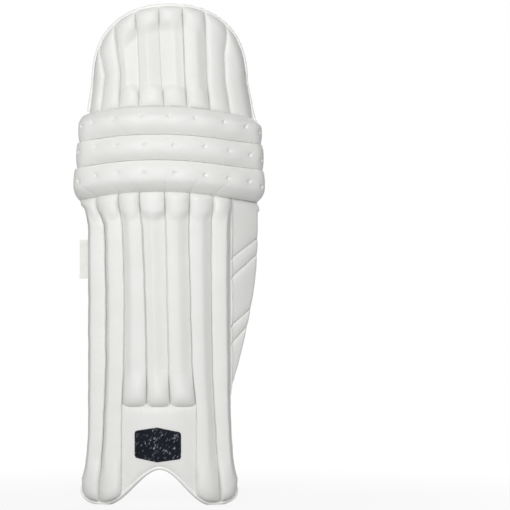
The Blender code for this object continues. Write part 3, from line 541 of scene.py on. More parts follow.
def cover_of(name, channels):
    """One piece of leathercloth from the places on its neighbouring channels."""
    across, height, out = (np.concatenate(group, axis=1) for group in zip(*channels))
    return lay(name, across, height, out, out - COVER)


cover_levels = np.linspace(0.0, KNEE_BOTTOM, 225)[:, None]
shin_cover = cover_of("shin_leather_cover", [cover_spot(channel, channel_steps(channel == 6), cover_levels)
                                             for channel in range(7)])
sew_over(shin_cover, leathercloth, ("shin", "knee"), LOW_KNEE_BEND, "white_leather", "shin_cover")


# Shin canes
# Seven foam canes stiffen the shin. One is slid into each rib of the cover, and the seams on both sides of the rib
# and the stitching at its ends hold it there.
CANE_LOW = 0.060
INSTEP_CANE_LOW = 0.200
CANE_HIGH = 0.398
CANE_SIDES = (0.3, 0.7)
CANE_BACK = 0.0046
CANE_FRONT = 0.0048
CANE_FILL = 0.6


def cane_shares(strip, mirrored):
    """Shares across a channel that a cane in its rib takes up."""
    marks = np.linspace(*CANE_SIDES, 9)[None, :] * (1.0 - strip)
    return 1.0 - marks[:, ::-1] if mirrored else marks


def lay_cane(name, across, height, rib_rise):
    bulge = CANE_FILL * rib_rise * pillow(np.linspace(0.0, 1.0, 9)[None, :], 2.0)
    return lay(name, across, height, CANE_FRONT + bulge, CANE_BACK)


for channel in range(7):
    levels = np.linspace(INSTEP_CANE_LOW if channel in PANEL_CHANNELS else CANE_LOW, CANE_HIGH, 60)[:, None]
    shares = cane_shares(STRIP_SHARES[channel], channel < CENTRE_CHANNEL)
    across = across_at(mix(seam_x(channel, levels), seam_x(channel + 1, levels), shares), SEAM_OUT)
    rib_rise = LOW_RIB_RISE if channel == LOW_CHANNEL else RIB_RISE
    cane = lay_cane(f"shin_cane_{channel + 1}", across, levels, rib_rise)
    sew_on(cane, cut_foam, "shin", "foam", f"shin_rod_{channel + 1}")


# Stitching of the shin seams
# White bonded thread, about 3.6 mm a stitch, holds the cover down to the board along the six inner seams.
# Each stitch is a short spindle that dips into the cloth at both ends.
STITCH_PITCH = 0.0036
STITCH_LENGTH = 0.0024
STITCH_RADIUS = 0.00055
STITCH_LIFT = 0.0002
STITCH_AHEAD = 0.001
SPINDLE = ((-0.5, 0.35), (-0.28, 1.0), (0.28, 1.0), (0.5, 0.35))
SPINDLE_SIDES = 6
SHIN_STITCH_LINES = ((1, 0.05), (2, 0.045), (3, 0.04), (3, 0.96), (4, 0.96), (5, 0.955))
SHIN_STITCH_LOW = 0.070
INSTEP_STITCH_LOW = INSTEP_TOP + 0.006
SHIN_STITCH_HIGH = 0.424

# Bonded nylon thread: off-white and slightly glossy, with grey diagonal bands across it as painted shade in the
# grooves of its twist
thread = patterned("white_bonded_nylon_thread", "ShaderNodeTexWave", {"Scale": 420.0, "Distortion": 1.0},
                   ("#E4E4DF", "#B4B4AE"), {"Roughness": 0.45}, bands_direction="DIAGONAL")


def unit(vectors):
    return vectors / np.linalg.norm(vectors, axis=-1, keepdims=True)


def distances(run):
    """How far each of a run's points is from its start, along it."""
    return np.concatenate(([0.0], np.cumsum(np.linalg.norm(np.diff(run, axis=0), axis=1))))


def places_along(run, along, spots):
    """The places at some distances along a run of points."""
    return np.stack([np.interp(spots, along, run[:, axis]) for axis in range(run.shape[1])], axis=-1)


def stitches(name, runs, outward, pitch=STITCH_PITCH, length=STITCH_LENGTH, radius=STITCH_RADIUS):
    """One mesh of small thread spindles laid along runs of points. outward gives the surface's direction."""
    turns = np.linspace(0.0, 2.0 * math.pi, SPINDLE_SIDES, endpoint=False)[:, None]
    rings = []
    for run in runs:
        along = distances(run)
        spots = np.arange(0.5 * pitch, along[-1], pitch)
        middle = places_along(run, along, spots)
        forward = places_along(run, along, spots + STITCH_AHEAD) - places_along(run, along, spots - STITCH_AHEAD)
        forward = unit(forward)
        up = outward(middle)
        for spot, way, lift, edge in zip(middle, forward, up, np.cross(forward, up)):
            circle = radius * (np.cos(turns) * lift + np.sin(turns) * edge)
            rings += [spot + way * length * step + circle * swell for step, swell in SPINDLE]
    points = np.concatenate(rings)
    last = SPINDLE_SIDES * (len(SPINDLE) - 1)
    faces = []
    for start in range(0, len(points), last + SPINDLE_SIDES):
        for low in range(start, start + last, SPINDLE_SIDES):
            ring = [(low + turn, low + (turn + 1) % SPINDLE_SIDES) for turn in range(SPINDLE_SIDES)]
            faces += [(here, after, after + SPINDLE_SIDES, here + SPINDLE_SIDES) for here, after in ring]
        faces.append(tuple(range(start + SPINDLE_SIDES - 1, start - 1, -1)))
        faces.append(tuple(range(start + last, start + last + SPINDLE_SIDES)))
    mesh = bpy.data.meshes.new(name)
    mesh.from_pydata(points.tolist(), [], faces)
    mesh.shade_smooth()
    return link(bpy.data.objects.new(name, mesh))


def from_wrap_axis(points):
    """Direction out of the pad's front at points on it."""
    return unit((points - np.array((0.0, WRAP_RADIUS, 0.0))) * np.array((1.0, 1.0, 0.0)))


def towards_leg(points):
    return -from_wrap_axis(points)


seam_runs = []
for channel, share in SHIN_STITCH_LINES:
    lowest = INSTEP_STITCH_LOW if channel in PANEL_CHANNELS else SHIN_STITCH_LOW
    across, height, out = cover_spot(channel, share, np.linspace(lowest, SHIN_STITCH_HIGH, 150))
    seam_runs.append(wrap(across, height, out + STITCH_LIFT))
shin_stitching = stitches("shin_stitching", seam_runs, from_wrap_axis)
sew_over(shin_stitching, thread, ("shin", "knee"), LOW_KNEE_BEND, "white_leather")


# Instep panel
# A smooth padded panel of the same leathercloth closes the three middle channels and runs down to the arch.
# It is sewn in along both sides and under the bulbs.
PANEL_EDGE = 0.0080
PANEL_SWELL = 0.0050
PANEL_SIDE_ROUND = 0.030
PANEL_FOOT_ROUND = 0.022
PANEL_TOP_ROUND = 0.014
PANEL_GAP = 0.0003
PANEL_TOP_SEAM = INSTEP_TOP + 0.002
SCALLOP_BASE = 0.110
PANEL_GATHER = 0.0005
GATHER_LENGTH = 0.013
GATHER_FADE = 0.008
PANEL_SEAMS = (2, 5)


def panel_out(across, height):
    """How far the panel stands out. It sinks to its side seams, to the foot edge and to its top seam."""
    side = np.minimum(across - seam_across(PANEL_SEAMS[0], height), seam_across(PANEL_SEAMS[1], height) - across)
    foot = rounded(height - sewn_edge(across), PANEL_FOOT_ROUND)
    top = rounded(PANEL_TOP_SEAM - height, PANEL_TOP_ROUND)
    return PANEL_EDGE + PANEL_SWELL * rounded(side, PANEL_SIDE_ROUND) * foot * top


panel_levels = np.linspace(0.0, INSTEP_TOP, 90)[:, None]
panel_shares = np.linspace(0.0, 1.0, 90)[None, :]
panel_left = across_at(seam_x(PANEL_SEAMS[0], panel_levels) + PANEL_GAP, SEAM_OUT)
panel_right = across_at(seam_x(PANEL_SEAMS[1], panel_levels) - PANEL_GAP, SEAM_OUT)
across = mix(panel_left, panel_right, panel_shares)
in_channel = (len(PANEL_CHANNELS) * panel_shares) % 1.0
scallops = SCALLOP * off_middle(in_channel) ** 4 * ease(panel_levels, SCALLOP_BASE, INSTEP_TOP)
height = shin_height(panel_levels, across) + scallops
gather = PANEL_GATHER * waver(across, GATHER_LENGTH, 2.0) * np.exp(-(INSTEP_TOP - height) / GATHER_FADE)
instep_panel = lay("instep_leather_panel", across, height, panel_out(across, height) + gather, PANEL_EDGE - COVER)
sew_on(instep_panel, leathercloth, "shin", "white_leather", "instep_panel")


# Instep badge
# A six-sided patch of flecked navy cloth, bonded flat to the instep panel and left bare. A thread of the same navy
# runs just inside its edge.
BADGE_SIDES = (-0.0392, 0.0254)
BADGE_PEAK = -0.008
BADGE_TOPS = (0.1049, 0.1098, 0.1029)
BADGE_FEET = (0.0681, 0.0612, 0.0660)
BADGE_CORNER = 0.0035
BADGE_THICKNESS = 0.0011
BADGE_SEAT = 0.0004
BADGE_ROUND = 0.0015
BADGE_BOX = (0.064, 0.042)
BADGE_THREAD_INSET = 0.035
BADGE_THREAD_OUT = 0.0017
BADGE_THREAD = 0.00045

# Flecked polyester cloth: near-black navy twill with short white slubs about 2 mm long that all lean one way,
# in looser and denser clouds. The slubs are drawn about twice as wide as real ones, so that they show.
navy_cloth, tree, shader, place = finish("navy_flecked_polyester_twill", "UV")
lean = put(tree, "ShaderNodeMapping", {"Vector": place, "Rotation": (0.0, 0.0, math.radians(28.0))}).outputs[0]
slub_grid = put(tree, "ShaderNodeMapping", {"Vector": lean, "Scale": (950.0, 240.0, 1.0)}).outputs[0]
slubs = put(tree, "ShaderNodeTexVoronoi", {"Vector": slub_grid, "Scale": 1.0}, voronoi_dimensions="2D").outputs
chance, weight, _ = put(tree, "ShaderNodeSeparateColor", {0: slubs["Color"]}).outputs
clouds = put(tree, "ShaderNodeTexNoise", {"Vector": place, "Scale": 55.0, "Detail": 1.0}, noise_dimensions="2D")
clouds = clouds.outputs["Fac"]
chosen = maths(tree, "LESS_THAN", chance, ranged(tree, clouds, 0.35, 0.70, 0.12, 0.40))
fleck = maths(tree, "MULTIPLY", chosen, ranged(tree, slubs["Distance"], 0.36, 0.50, 1.0, 0.0))
faded = maths(tree, "MULTIPLY", fleck, maths(tree, "POWER", weight, 2.2))
dye = between(tree, clouds, "#090C15", "#141A29")
twill = put(tree, "ShaderNodeTexWave", {"Vector": place, "Scale": 260.0}, bands_direction="DIAGONAL").outputs["Fac"]
wire(shader, {"Base Color": between(tree, faded, dye, "#A6ABB3"), "Normal": relief(tree, twill, 0.5, 0.0002),
              "Roughness": 0.8, "Specular IOR Level": 0.25})


def badge_spot(share, level, out):
    """A place on the badge: share across from 0 to 1, level up from 0 to 1."""
    x = mix(*BADGE_SIDES, share)
    from_side = nearer(share) * (BADGE_SIDES[1] - BADGE_SIDES[0])
    ends = BADGE_CORNER * (1.0 - rounded(from_side, BADGE_CORNER))
    knots = (BADGE_SIDES[0], BADGE_PEAK, BADGE_SIDES[1])
    height = mix(np.interp(x, knots, BADGE_FEET) + ends, np.interp(x, knots, BADGE_TOPS) - ends, level)
    across = across_at(x, PANEL_EDGE + PANEL_SWELL)
    return across, height, panel_out(across, height) + out


def grid(columns, rows):
    """Shares across and levels up, both from 0 to 1."""
    return np.meshgrid(np.linspace(0.0, 1.0, columns), np.linspace(0.0, 1.0, rows))


def flat(across, height):
    """Places on flat cloth."""
    return np.stack(np.broadcast_arrays(across, height), axis=-1)


def patch_edge(share, level, box):
    """Distance from the edge of a patch, taken as a box of a width and height."""
    return np.minimum(nearer(share) * box[0], nearer(level) * box[1])


def outline_of(spot, inset, out, count=40):
    """A closed run of points a little inside the edge of a patch that spot lays out."""
    far = 1.0 - inset
    run = np.linspace(inset, far, count)
    shares = np.concatenate((run, np.full(count, far), run[::-1], np.full(count, inset)))
    levels = np.concatenate((np.full(count, inset), run, np.full(count, far), run[::-1]))
    return wrap(*spot(shares, levels, out))


def cord_line(name, points, radius, closed=True):
    """A thin round thread or piping along a run of points."""
    curve = bpy.data.curves.new(name, "CURVE")
    curve.dimensions = "3D"
    curve.bevel_depth = radius
    curve.bevel_resolution = 3
    spline = curve.splines.new("POLY")
    spline.points.add(len(points) - 1)
    spline.points.foreach_set("co", np.concatenate((points, np.ones((len(points), 1))), axis=1).ravel())
    spline.use_cyclic_u = closed
    curve.use_fill_caps = not closed
    drawn = bpy.data.objects.new(name + "_line", curve)
    mesh = bpy.data.meshes.new_from_object(drawn)
    mesh.name = name
    bpy.data.objects.remove(drawn)
    bpy.data.curves.remove(curve)
    return link(bpy.data.objects.new(name, mesh))


share, level = grid(70, 44)
across, height, out = badge_spot(share, level, BADGE_SEAT)
swell = BADGE_THICKNESS * rounded(patch_edge(share, level, BADGE_BOX), BADGE_ROUND)
instep_badge = lay("instep_cloth_badge", across, height, out + swell, out - BADGE_SEAT, flat(across, height))
sew_on(instep_badge, navy_cloth, "shin", "navy_fabric", "instep_badge")
badge_line = outline_of(badge_spot, BADGE_THREAD_INSET, BADGE_THREAD_OUT)
badge_edge = cord_line("instep_badge_edge_thread", badge_line, BADGE_THREAD)
sew_on(badge_edge, navy_cloth, "shin", "navy_fabric")


# Shin binding
# White tape is folded over the edge of the shin, up its inner side, round the arched foot end and up its outer
# side, and stitched through all the layers.
BINDING_WIDE = 0.0030
# Half depths through the pad and distances out: round the foot, up the sides, and at the inner end of the knee seam
TAPE_DEEP = (0.0068, 0.0046, 0.0072)
TAPE_OUT = (0.0034, 0.0022, 0.0048)
TAPE_SIDE_START = (0.04, 0.08)
TAPE_KNEE_START = (0.392, 0.412)
TAPE_TUCK = 0.0024
TAPE_TOP = 0.428
TAPE_STEP = 0.0016
TAPE_SIDES = 20


def even(path, gap):
    """The same run of points at an even spacing, and their distances along it."""
    along = distances(path)
    spots = np.linspace(0.0, along[-1], max(2, int(along[-1] / gap)))
    return places_along(path, along, spots), spots


def binding(name, points, deep, wide, middle_out):
    """Folded tape along a run of places given by across and height: a flat oval section, deep through the pad."""
    deep = np.broadcast_to(deep, len(points))[None, :, None]
    run = wrap(points[:, 0], points[:, 1], middle_out)
    forward = unit(np.gradient(run, axis=0))
    out = from_wrap_axis(run)
    side = np.cross(forward, out)
    turns = np.linspace(0.0, 2.0 * math.pi, TAPE_SIDES, endpoint=False)[:, None, None]
    squared = np.sign(np.cos(turns)) * np.abs(np.cos(turns)) ** 0.6
    rings = run[None] + squared * deep * out[None] + np.sin(turns) * wide * side[None]
    index = np.arange(TAPE_SIDES * len(run)).reshape(TAPE_SIDES, len(run))
    after = np.roll(index, -1, axis=0)
    faces = np.stack((index[:, :-1], index[:, 1:], after[:, 1:], after[:, :-1]), axis=-1).reshape(-1, 4)
    caps = [tuple(index[:, 0]), tuple(index[::-1, -1])]
    mesh = bpy.data.meshes.new(name)
    mesh.from_pydata(rings.reshape(-1, 3).tolist(), [], faces.tolist() + caps)
    mesh.shade_smooth()
    return link(bpy.data.objects.new(name, mesh))


# Smooth polyurethane tape: brighter and a little glossier than the grained leathercloth, with faint cross creases
tape = patterned("white_polyurethane_binding_tape", "ShaderNodeTexNoise", {"Scale": 180.0, "Detail": 2.0},
                 ("#FAFAF8", "#F3F3F0"), {"Roughness": 0.4}, (0.3, 0.0004))

foot_across = np.linspace(*LOBE_SIDES, 700)
side_rise = np.linspace(TAPE_TOP, LOBE_ROUND, 120)
tape_run, _ = even(np.concatenate((flat(seam_across(0, side_rise), side_rise)[:-1],
                                   flat(foot_across, foot_edge(foot_across)),
                                   flat(seam_across(7, side_rise[::-1]), side_rise[::-1])[1:])), TAPE_STEP)
forward = unit(np.gradient(tape_run, axis=0))
inward = np.stack((-forward[:, 1], forward[:, 0]), axis=-1)
on_side = ease(tape_run[:, 1], *TAPE_SIDE_START)
at_knee = ease(tape_run[:, 1], *TAPE_KNEE_START) * (tape_run[:, 0] < 0.0)
tape_deep, tape_out = (mix(mix(foot, side, on_side), knee, at_knee) for foot, side, knee in (TAPE_DEEP, TAPE_OUT))
tape_inset = (BINDING_WIDE + TAPE_TUCK * at_knee)[:, None]
instep_binding = binding("instep_binding_tape", tape_run + tape_inset * inward, tape_deep, BINDING_WIDE, tape_out)
sew_over(instep_binding, tape, ("shin", "knee"), LOW_KNEE_BEND, "white_binding", "instep_binding")


# Back skin
# Plain white leathercloth lines the leg side of the shin board. It is turned in along both sides, which leaves a
# welt there, and the binding holds its edge.
SKIN_OUT = -0.0021
BOARD_GAP = 0.0005
# Height, distance from the edge, and width of the welt and of the seam beside it
WELT = (0.0010, 0.0035, 0.0016)
WELT_SEAM = (0.0004, 0.0068, 0.0010)

skin_levels = np.linspace(0.0, KNEE_BOTTOM, 150)[:, None]
skin_left, skin_right = seam_across(0, skin_levels), seam_across(7, skin_levels)
across = mix(skin_left, skin_right, np.linspace(0.0, 1.0, 150)[None, :])
from_side = np.minimum(across - skin_left, skin_right - across)
welt = ridge(from_side, *WELT) - ridge(from_side, *WELT_SEAM)
back_skin = lay("shin_back_skin_leather", across, shin_height(skin_levels, across), -BOARD_GAP, SKIN_OUT - welt)
sew_over(back_skin, leathercloth, ("shin", "knee"), LOW_KNEE_BEND, "white_leather", "shin_back_skin")


# Centre strip
# A band of the flecked navy cloth over thin wadding is sewn up the middle of the leg side, between the bolsters,
# and left bare. A thin black cord along each long edge stands in for the shade where the cloth's edge is turned.
LEG_SEAT = -0.0026
STRIP_SIDES = (-0.0215, 0.0475)
STRIP_LOW = 0.012
STRIP_EDGE = 0.0010
STRIP_PUFF = 0.0016
STRIP_ROUND = 0.012
STRIP_SHADE_CORD = 0.0011

# Black edge cord: a matt cord with a fine diagonal braid, dark as painted shade for the cloth's turned edge
edge_shade_cord = patterned("black_edge_shade_cord", "ShaderNodeTexWave", {"Scale": 260.0, "Distortion": 1.0},
                   ("#07090D", "#12161E"), {"Roughness": 0.75}, bands_direction="DIAGONAL")

across = np.linspace(*STRIP_SIDES, 50)[None, :]
height = shin_height(np.linspace(STRIP_LOW, KNEE_BOTTOM, 150)[:, None], across)
side = np.minimum(across - STRIP_SIDES[0], STRIP_SIDES[1] - across)
ripple = 0.0003 * waver(height, 0.05, 1.0) + 0.0002 * waver(across + height, 0.03, 2.0)
puff = STRIP_EDGE + (STRIP_PUFF + ripple) * rounded(side, STRIP_ROUND)
centre_strip = lay("centre_strip_cloth", across, height, LEG_SEAT, LEG_SEAT - puff, flat(across, height))
sew_over(centre_strip, navy_cloth, ("shin", "knee"), LOW_KNEE_BEND, "navy_fabric", "centre_strip")
# Black cords along both long edges, dark as painted shade for the cloth's turned edge
for side_name, column in (("inner", 0), ("outer", -1)):
    edge_run = wrap(across[:, column], height[:, column], LEG_SEAT - STRIP_EDGE)
    strip_shade_cord = cord_line(f"centre_strip_{side_name}_piping", edge_run, STRIP_SHADE_CORD, closed=False)
    sew_over(strip_shade_cord, edge_shade_cord, ("shin", "knee"), LOW_KNEE_BEND, "navy_fabric")


# Bolsters
# Two long foam bolsters lie along the calf, one each side of the strip, each in a sewn cover of white spacer mesh.
# The outer one widens over the calf, and both are drawn in to a round end at the foot.
BOLSTER_CROWN = 0.0228
BOLSTER_EDGE = 0.0010
BOLSTER_LOW = 0.030
BOLSTER_HIGH = 0.432
BOLSTER_CALF = (0.170, 0.270)
BOLSTER_TAPER = 0.030
BOLSTER_ENDS = 0.40
# Name, near side, far side at the foot and far side at the calf
BOLSTERS = (("outer_bolster", 0.048, 0.0745, 0.0922), ("inner_bolster", -0.022, -0.084, -0.084))
CELL_WIDTH = 0.0026
CELL_HEIGHT = 0.0031

# Polyester spacer mesh: a white knit with rows of small open cells that run on the slant, 2.6 mm apart. The
# cells are hollows, and painted shade greys them by their depth.
spacer_mesh, tree, shader, place = finish("white_polyester_spacer_mesh", "UV")
cell_turns = (2.0 * math.pi / CELL_WIDTH, 2.0 * math.pi / CELL_HEIGHT, 1.0)
slant = put(tree, "ShaderNodeMapping", {"Vector": place, "Rotation": (0.0, 0.0, math.radians(38.0)),
                                        "Scale": cell_turns}).outputs[0]
cell = put(tree, "ShaderNodeSeparateXYZ", {0: slant}).outputs
hollow = maths(tree, "ADD", maths(tree, "SINE", cell[0]), maths(tree, "SINE", cell[1]))
depth = ranged(tree, hollow, 0.15, 1.6, 0.0, 1.0)
# Painted shade: the knit greys with the depth of its cells
wire(shader, {"Base Color": between(tree, depth, "#FDFBFC", "#E6E2E4"), "Roughness": 0.85, "Sheen Weight": 0.2,
              "Normal": relief(tree, depth, 0.6, 0.0007, invert=True)})


def spread(surface):
    """The flat layout of cloth laid over a grid of points, measured along the surface from its middle."""
    along = np.cumsum(np.linalg.norm(np.diff(surface, axis=1, prepend=surface[:, :1]), axis=-1), axis=1)
    up = np.cumsum(np.linalg.norm(np.diff(surface, axis=0, prepend=surface[:1]), axis=-1), axis=0)
    middle = surface.shape[1] // 2
    return flat(along - along[:, middle:middle + 1], up[:, middle:middle + 1])


def mesh_pad(name, board_side, leg_side, mirrored):
    """A piece in spacer mesh, from the points of its two sides. Mirrored ones run towards -X."""
    flip = -1 if mirrored else 1
    return quilt(name, board_side[:, ::flip], leg_side[:, ::flip], spread(leg_side[:, ::flip]))


share, level = grid(64, 190)
for name, near, foot_far, calf_far in BOLSTERS:
    height = mix(BOLSTER_LOW, arched(BOLSTER_HIGH, mix(near, calf_far, share)), level)
    narrow = np.clip(1.0 - (height - BOLSTER_LOW) / BOLSTER_TAPER, 0.0, 1.0) ** 2
    on_calf = np.clip((height - BOLSTER_CALF[0]) / (BOLSTER_CALF[1] - BOLSTER_CALF[0]), 0.0, 1.0)
    across = mix(near, mix(foot_far, calf_far, on_calf), mix(share, 0.5, 0.6 * narrow))
    ends = rounded((level - level ** 2) * BOLSTER_ENDS, BOLSTER_CROWN)
    lumps = 1.0 + 0.03 * waver(height, 0.11, 3.0) + 0.02 * waver(height + across, 0.05, 6.0)
    swell = BOLSTER_EDGE + (BOLSTER_CROWN - BOLSTER_EDGE) * pillow(share, 2.3) * ends * lumps
    leg_side = wrap(across, height, LEG_SEAT - swell)
    bolster = mesh_pad(name + "_mesh", wrap(across, height, LEG_SEAT), leg_side, near < 0.0)
    sew_on(bolster, spacer_mesh, "shin", "white_mesh", name + "_cover")


# Side tag
# A folded label of white woven tape, caught in the seam of the shin's inner edge and left bare. It stands out to the
# side and curls a little.
TAG_LEVEL = 0.343
TAG_WIDTH = 0.017
TAG_HEIGHT = 0.054
TAG_OUT = 0.002
TAG_HALF = 0.0005
TAG_LEAN = (1.0, 0.4, 0.0)
TAG_START = 0.001
TAG_CURL = 0.0007
TAG_RIPPLE = 0.0006

# Woven label tape: flat white satin with fine weft lines 0.8 mm apart
label_tape = patterned("white_woven_label_tape", "ShaderNodeTexWave", {"Scale": 200.0}, ("#F3F3EF", "#E4E4DF"),
                       {"Roughness": 0.6}, (0.4, 0.0001), bands_direction="Z")

tag_root = wrap(SHIN_ACROSS[0], TAG_LEVEL, TAG_OUT)
tag_lie = unit((wrap(SHIN_ACROSS[0] - TAG_WIDTH, TAG_LEVEL, TAG_OUT) - tag_root) * np.array(TAG_LEAN))
tag_face = np.array((tag_lie[1], -tag_lie[0], 0.0))
share, level = np.meshgrid(np.linspace(1.0, 0.0, 16), np.linspace(-1.0, 1.0, 40))
curl = TAG_CURL * np.sin(math.pi * share) + TAG_RIPPLE * share * waver(level, 1.6, 2.0)
tag_middle = (tag_root + tag_lie * (TAG_START + share * TAG_WIDTH)[..., None] + tag_face * curl[..., None]
              + np.array((0.0, 0.0, TAG_HEIGHT / 2)) * level[..., None])
side_tag = quilt("side_tag_tape", tag_middle - tag_face * TAG_HALF, tag_middle + tag_face * TAG_HALF)
sew_on(side_tag, label_tape, "shin", "webbing", "side_tag")


# Wing panel
# The flap that wraps round the calf: leathercloth over thin foam, drawn down along four slanting seams.
# It is sewn to the shin's outer edge, which it bends on, and its top is caught under the lowest knee roll.
WING_LOW = 0.154
WING_INNER = SHIN_ACROSS[1] + 0.0008
WING_OUTER = across_at(0.133, 0.006)
WING_LEAST = 0.003
WING_PANEL = 0.0062
WING_EDGE = 0.0016
WING_TOP_BEND = (0.386, 0.418)
WING_TOP_GAP = 0.0014
WING_CORNER = 0.008
WING_SLANT = 0.030
WING_SEAM_DEPTHS = ((0.0026, 0.0013), (0.0013, 0.0060))
WING_WELT = (0.0022, 0.0024, 0.0013)
WING_EDGE_ROUND = 0.006
WING_TOP_ROUND = 0.008
WING_TUCK = (-0.008, -0.003)
WING_PUFF = 0.0010
WING_RIPPLE = 0.0006
WING_PUFF_ROUND = 0.010
# Slanting seams in mm: distance from the shin line and height, at the shin and at the free edge
WING_SEAMS = ((93.8, 341.9, 133.4, 373.2), (96.7, 317.6, 132.7, 350.3), (94.5, 248.8, 126.5, 276.6),
              (98.7, 228.0, 118.2, 248.8))


def wing_reach(level, inset):
    full = (WING_OUTER - WING_INNER) * np.sin(0.5 * math.pi * np.minimum(1.0, level / 0.8)) ** 0.9
    return np.maximum(WING_LEAST, full - 2.0 * inset)


def roll_arch(level, across, soft=1.0):
    """The seams between the rolls dip less than the knee's own seams past the shin's outer side."""
    reach = knee_reach(across)
    past = reach - 0.75
    held = reach - 0.25 * (past + np.sqrt(past ** 2 + 0.02))
    return arched(level, across) + KNEE_DIP * soft * (reach ** 2 - held ** 2)


def wing_spot(share, level, out, inset, soft):
    """Across and height on the wing: share 0 at its hinge and 1 at its free edge, level 0 at its tip."""
    reach = wing_reach(level, inset)
    across = WING_INNER + inset + share * reach
    top = roll_arch(KNEE_BOTTOM, across, soft) - seam_half(across, out) - inset - WING_TOP_GAP
    top = top - WING_CORNER * (1.0 - rounded((1.0 - share) * reach, WING_CORNER))
    slant = WING_SLANT * (share - 0.5) * 4.0 * level * (1.0 - level)
    return across, mix(WING_LOW + inset, top, level) + slant


share, level = grid(50, 210)
across, height = wing_spot(share, level, WING_PANEL, 0.0, 1.0)
reach = wing_reach(level, 0.0)
drawn = np.zeros_like(height)
for x0, z0, x1, z1 in np.array(WING_SEAMS) / 1000.0:
    off = (height - z0) * (x1 - x0) - (seen_at(across, WING_PANEL) - x0) * (z1 - z0)
    off = off / math.hypot(x1 - x0, z1 - z0)
    drawn = np.maximum(drawn, sum(depth * bell(off, width) for depth, width in WING_SEAM_DEPTHS))
edge = np.minimum(1.0 - share, 2.0 * share) * reach
puff = WING_PUFF + WING_RIPPLE * waver(height + 0.3 * across, 0.06, 2.0)
out = WING_PANEL * mix(0.45, 1.0, rounded(edge, WING_EDGE_ROUND)) + (puff - drawn) * rounded(edge, WING_PUFF_ROUND)
out = out + ridge(share * reach, *WING_WELT)
out = out * mix(0.45, 1.0, rounded((1.0 - level) * (KNEE_BOTTOM - WING_LOW), WING_TOP_ROUND))
tucked = WING_PANEL * ease(height - arched(KNEE_BOTTOM, across), *WING_TUCK)
wing_panel = lay("wing_leather_panel", across, height, np.maximum(out, tucked + WING_EDGE), tucked)
sew_over(wing_panel, leathercloth, ("wing", "shin"), WING_TOP_BEND, "white_leather", "wing_panel")


# Wing lining
# The leg side of the flap is a thin pad of the spacer mesh, sewn to the panel round its edge.
# It is pressed flat where the calf strap's anchor and ring lie on it.
WING_SWELL = 0.0058
WING_INSET = 0.002
WING_PAD_ROUND = 0.012
WING_PRESSED = 0.7
WING_STRAP = (0.343, 0.036)

across, height = wing_spot(share, level, 0.0, WING_INSET, 0.0)
edge = nearer(share) * wing_reach(level, WING_INSET)
swell = WING_SWELL * mix(0.4, 1.0, rounded(edge, WING_PAD_ROUND)) * (1.0 + 0.05 * waver(height, 0.07, 4.0))
swell = swell * (1.0 - WING_PRESSED * np.exp(-((height - WING_STRAP[0]) / WING_STRAP[1]) ** 4))
leg_side = wrap(across, height, -BOARD_GAP - swell)
wing_lining = mesh_pad("wing_lining_mesh", wrap(across, height, -BOARD_GAP), leg_side, False)
sew_over(wing_lining, spacer_mesh, ("wing", "shin"), WING_TOP_BEND, "white_mesh", "wing_lining")


# Knee rolls
# Three stuffed rolls of leathercloth lie across the knee, one sewn above the other. Nine stitched tufts draw each
# one down to the board, and its cloth gathers there into short creases.
FRONT_SEAT = 0.0045
ROLL_VIEW = 0.0105
KNEE_INNER = across_at(-0.1195, ROLL_VIEW)
KNEE_OUTER = across_at(0.1360, ROLL_VIEW)
KNEE_TOP = 0.555
ROLL_EDGES = (0.0, 0.0425, 0.078, 0.117)
ROLL_GAP = 0.0004
ROLL_RIM = 0.006
SEAM_RIM = 0.0180
END_RIM = 0.0055
END_RIM_FADE = (0.01, 0.05)
ROLL_CROWN = 0.0278
ROLL_END = 0.022
# Height of a lip over its seam, and its level and width on the roll
LOW_LIP = (0.0022, 0.06, 0.13)
HIGH_LIP = (0.0022, 0.92, 0.09)
ROLL_PUCKER = (0.0003, 0.0, 0.004)
ROLL_PUCKER_LENGTH = 0.0095
ROLL_ENDS = ((-0.1203, 0.1348), (-0.1166, 0.1334), (-0.1138, 0.1312))
ROLL_TOP_SOFT = 0.55
WING_POCKET = 0.0055
POCKET_SIDE = (0.080, 0.096)
POCKET_LEVEL = 0.3
TOP_LIFT = 0.0026
TOP_LIFT_LEVELS = (0.62, 0.85)
# Depth, distance and width of what each tuft and each seam draws in
TUFT_VIEW = 0.026
TUFT_HOLE = (0.0030, 0.0, 0.0018)
TUFT_DENT = (0.0010, 0.0, 0.0085)
TUFT_CREASE = (0.0006, 0.0035, 0.0034)
TUFT_CREASE_WIDTH = 0.0010
SEAM_CREASE = (0.0016, 0.0, 0.0015)
SEAM_CREASE_FADE = 0.009
SEAM_VIEW = 0.02
# Tufts of the rolls from the knee's lower seam up, in mm: distance from the shin line and height
TUFTS = (
    ((-115.4, 451.7), (-91.7, 458.7), (-61.2, 461.5), (-25.0, 461.5), (16.7, 461.5), (57.7, 458.7), (89.0, 454.5),
     (116.8, 450.4), (134.5, 443.4)),
    ((-116.8, 492.1), (-91.7, 498.3), (-63.9, 499.7), (-25.0, 500.4), (15.3, 499.7), (57.0, 498.3), (90.3, 493.4),
     (118.1, 487.2), (135.0, 480.9)),
    ((-112.6, 527.5), (-95.9, 532.4), (-66.7, 537.2), (-30.6, 540.7), (8.3, 540.7), (44.5, 537.9), (83.4, 532.4),
     (112.6, 526.8), (132.0, 519.9)),
)


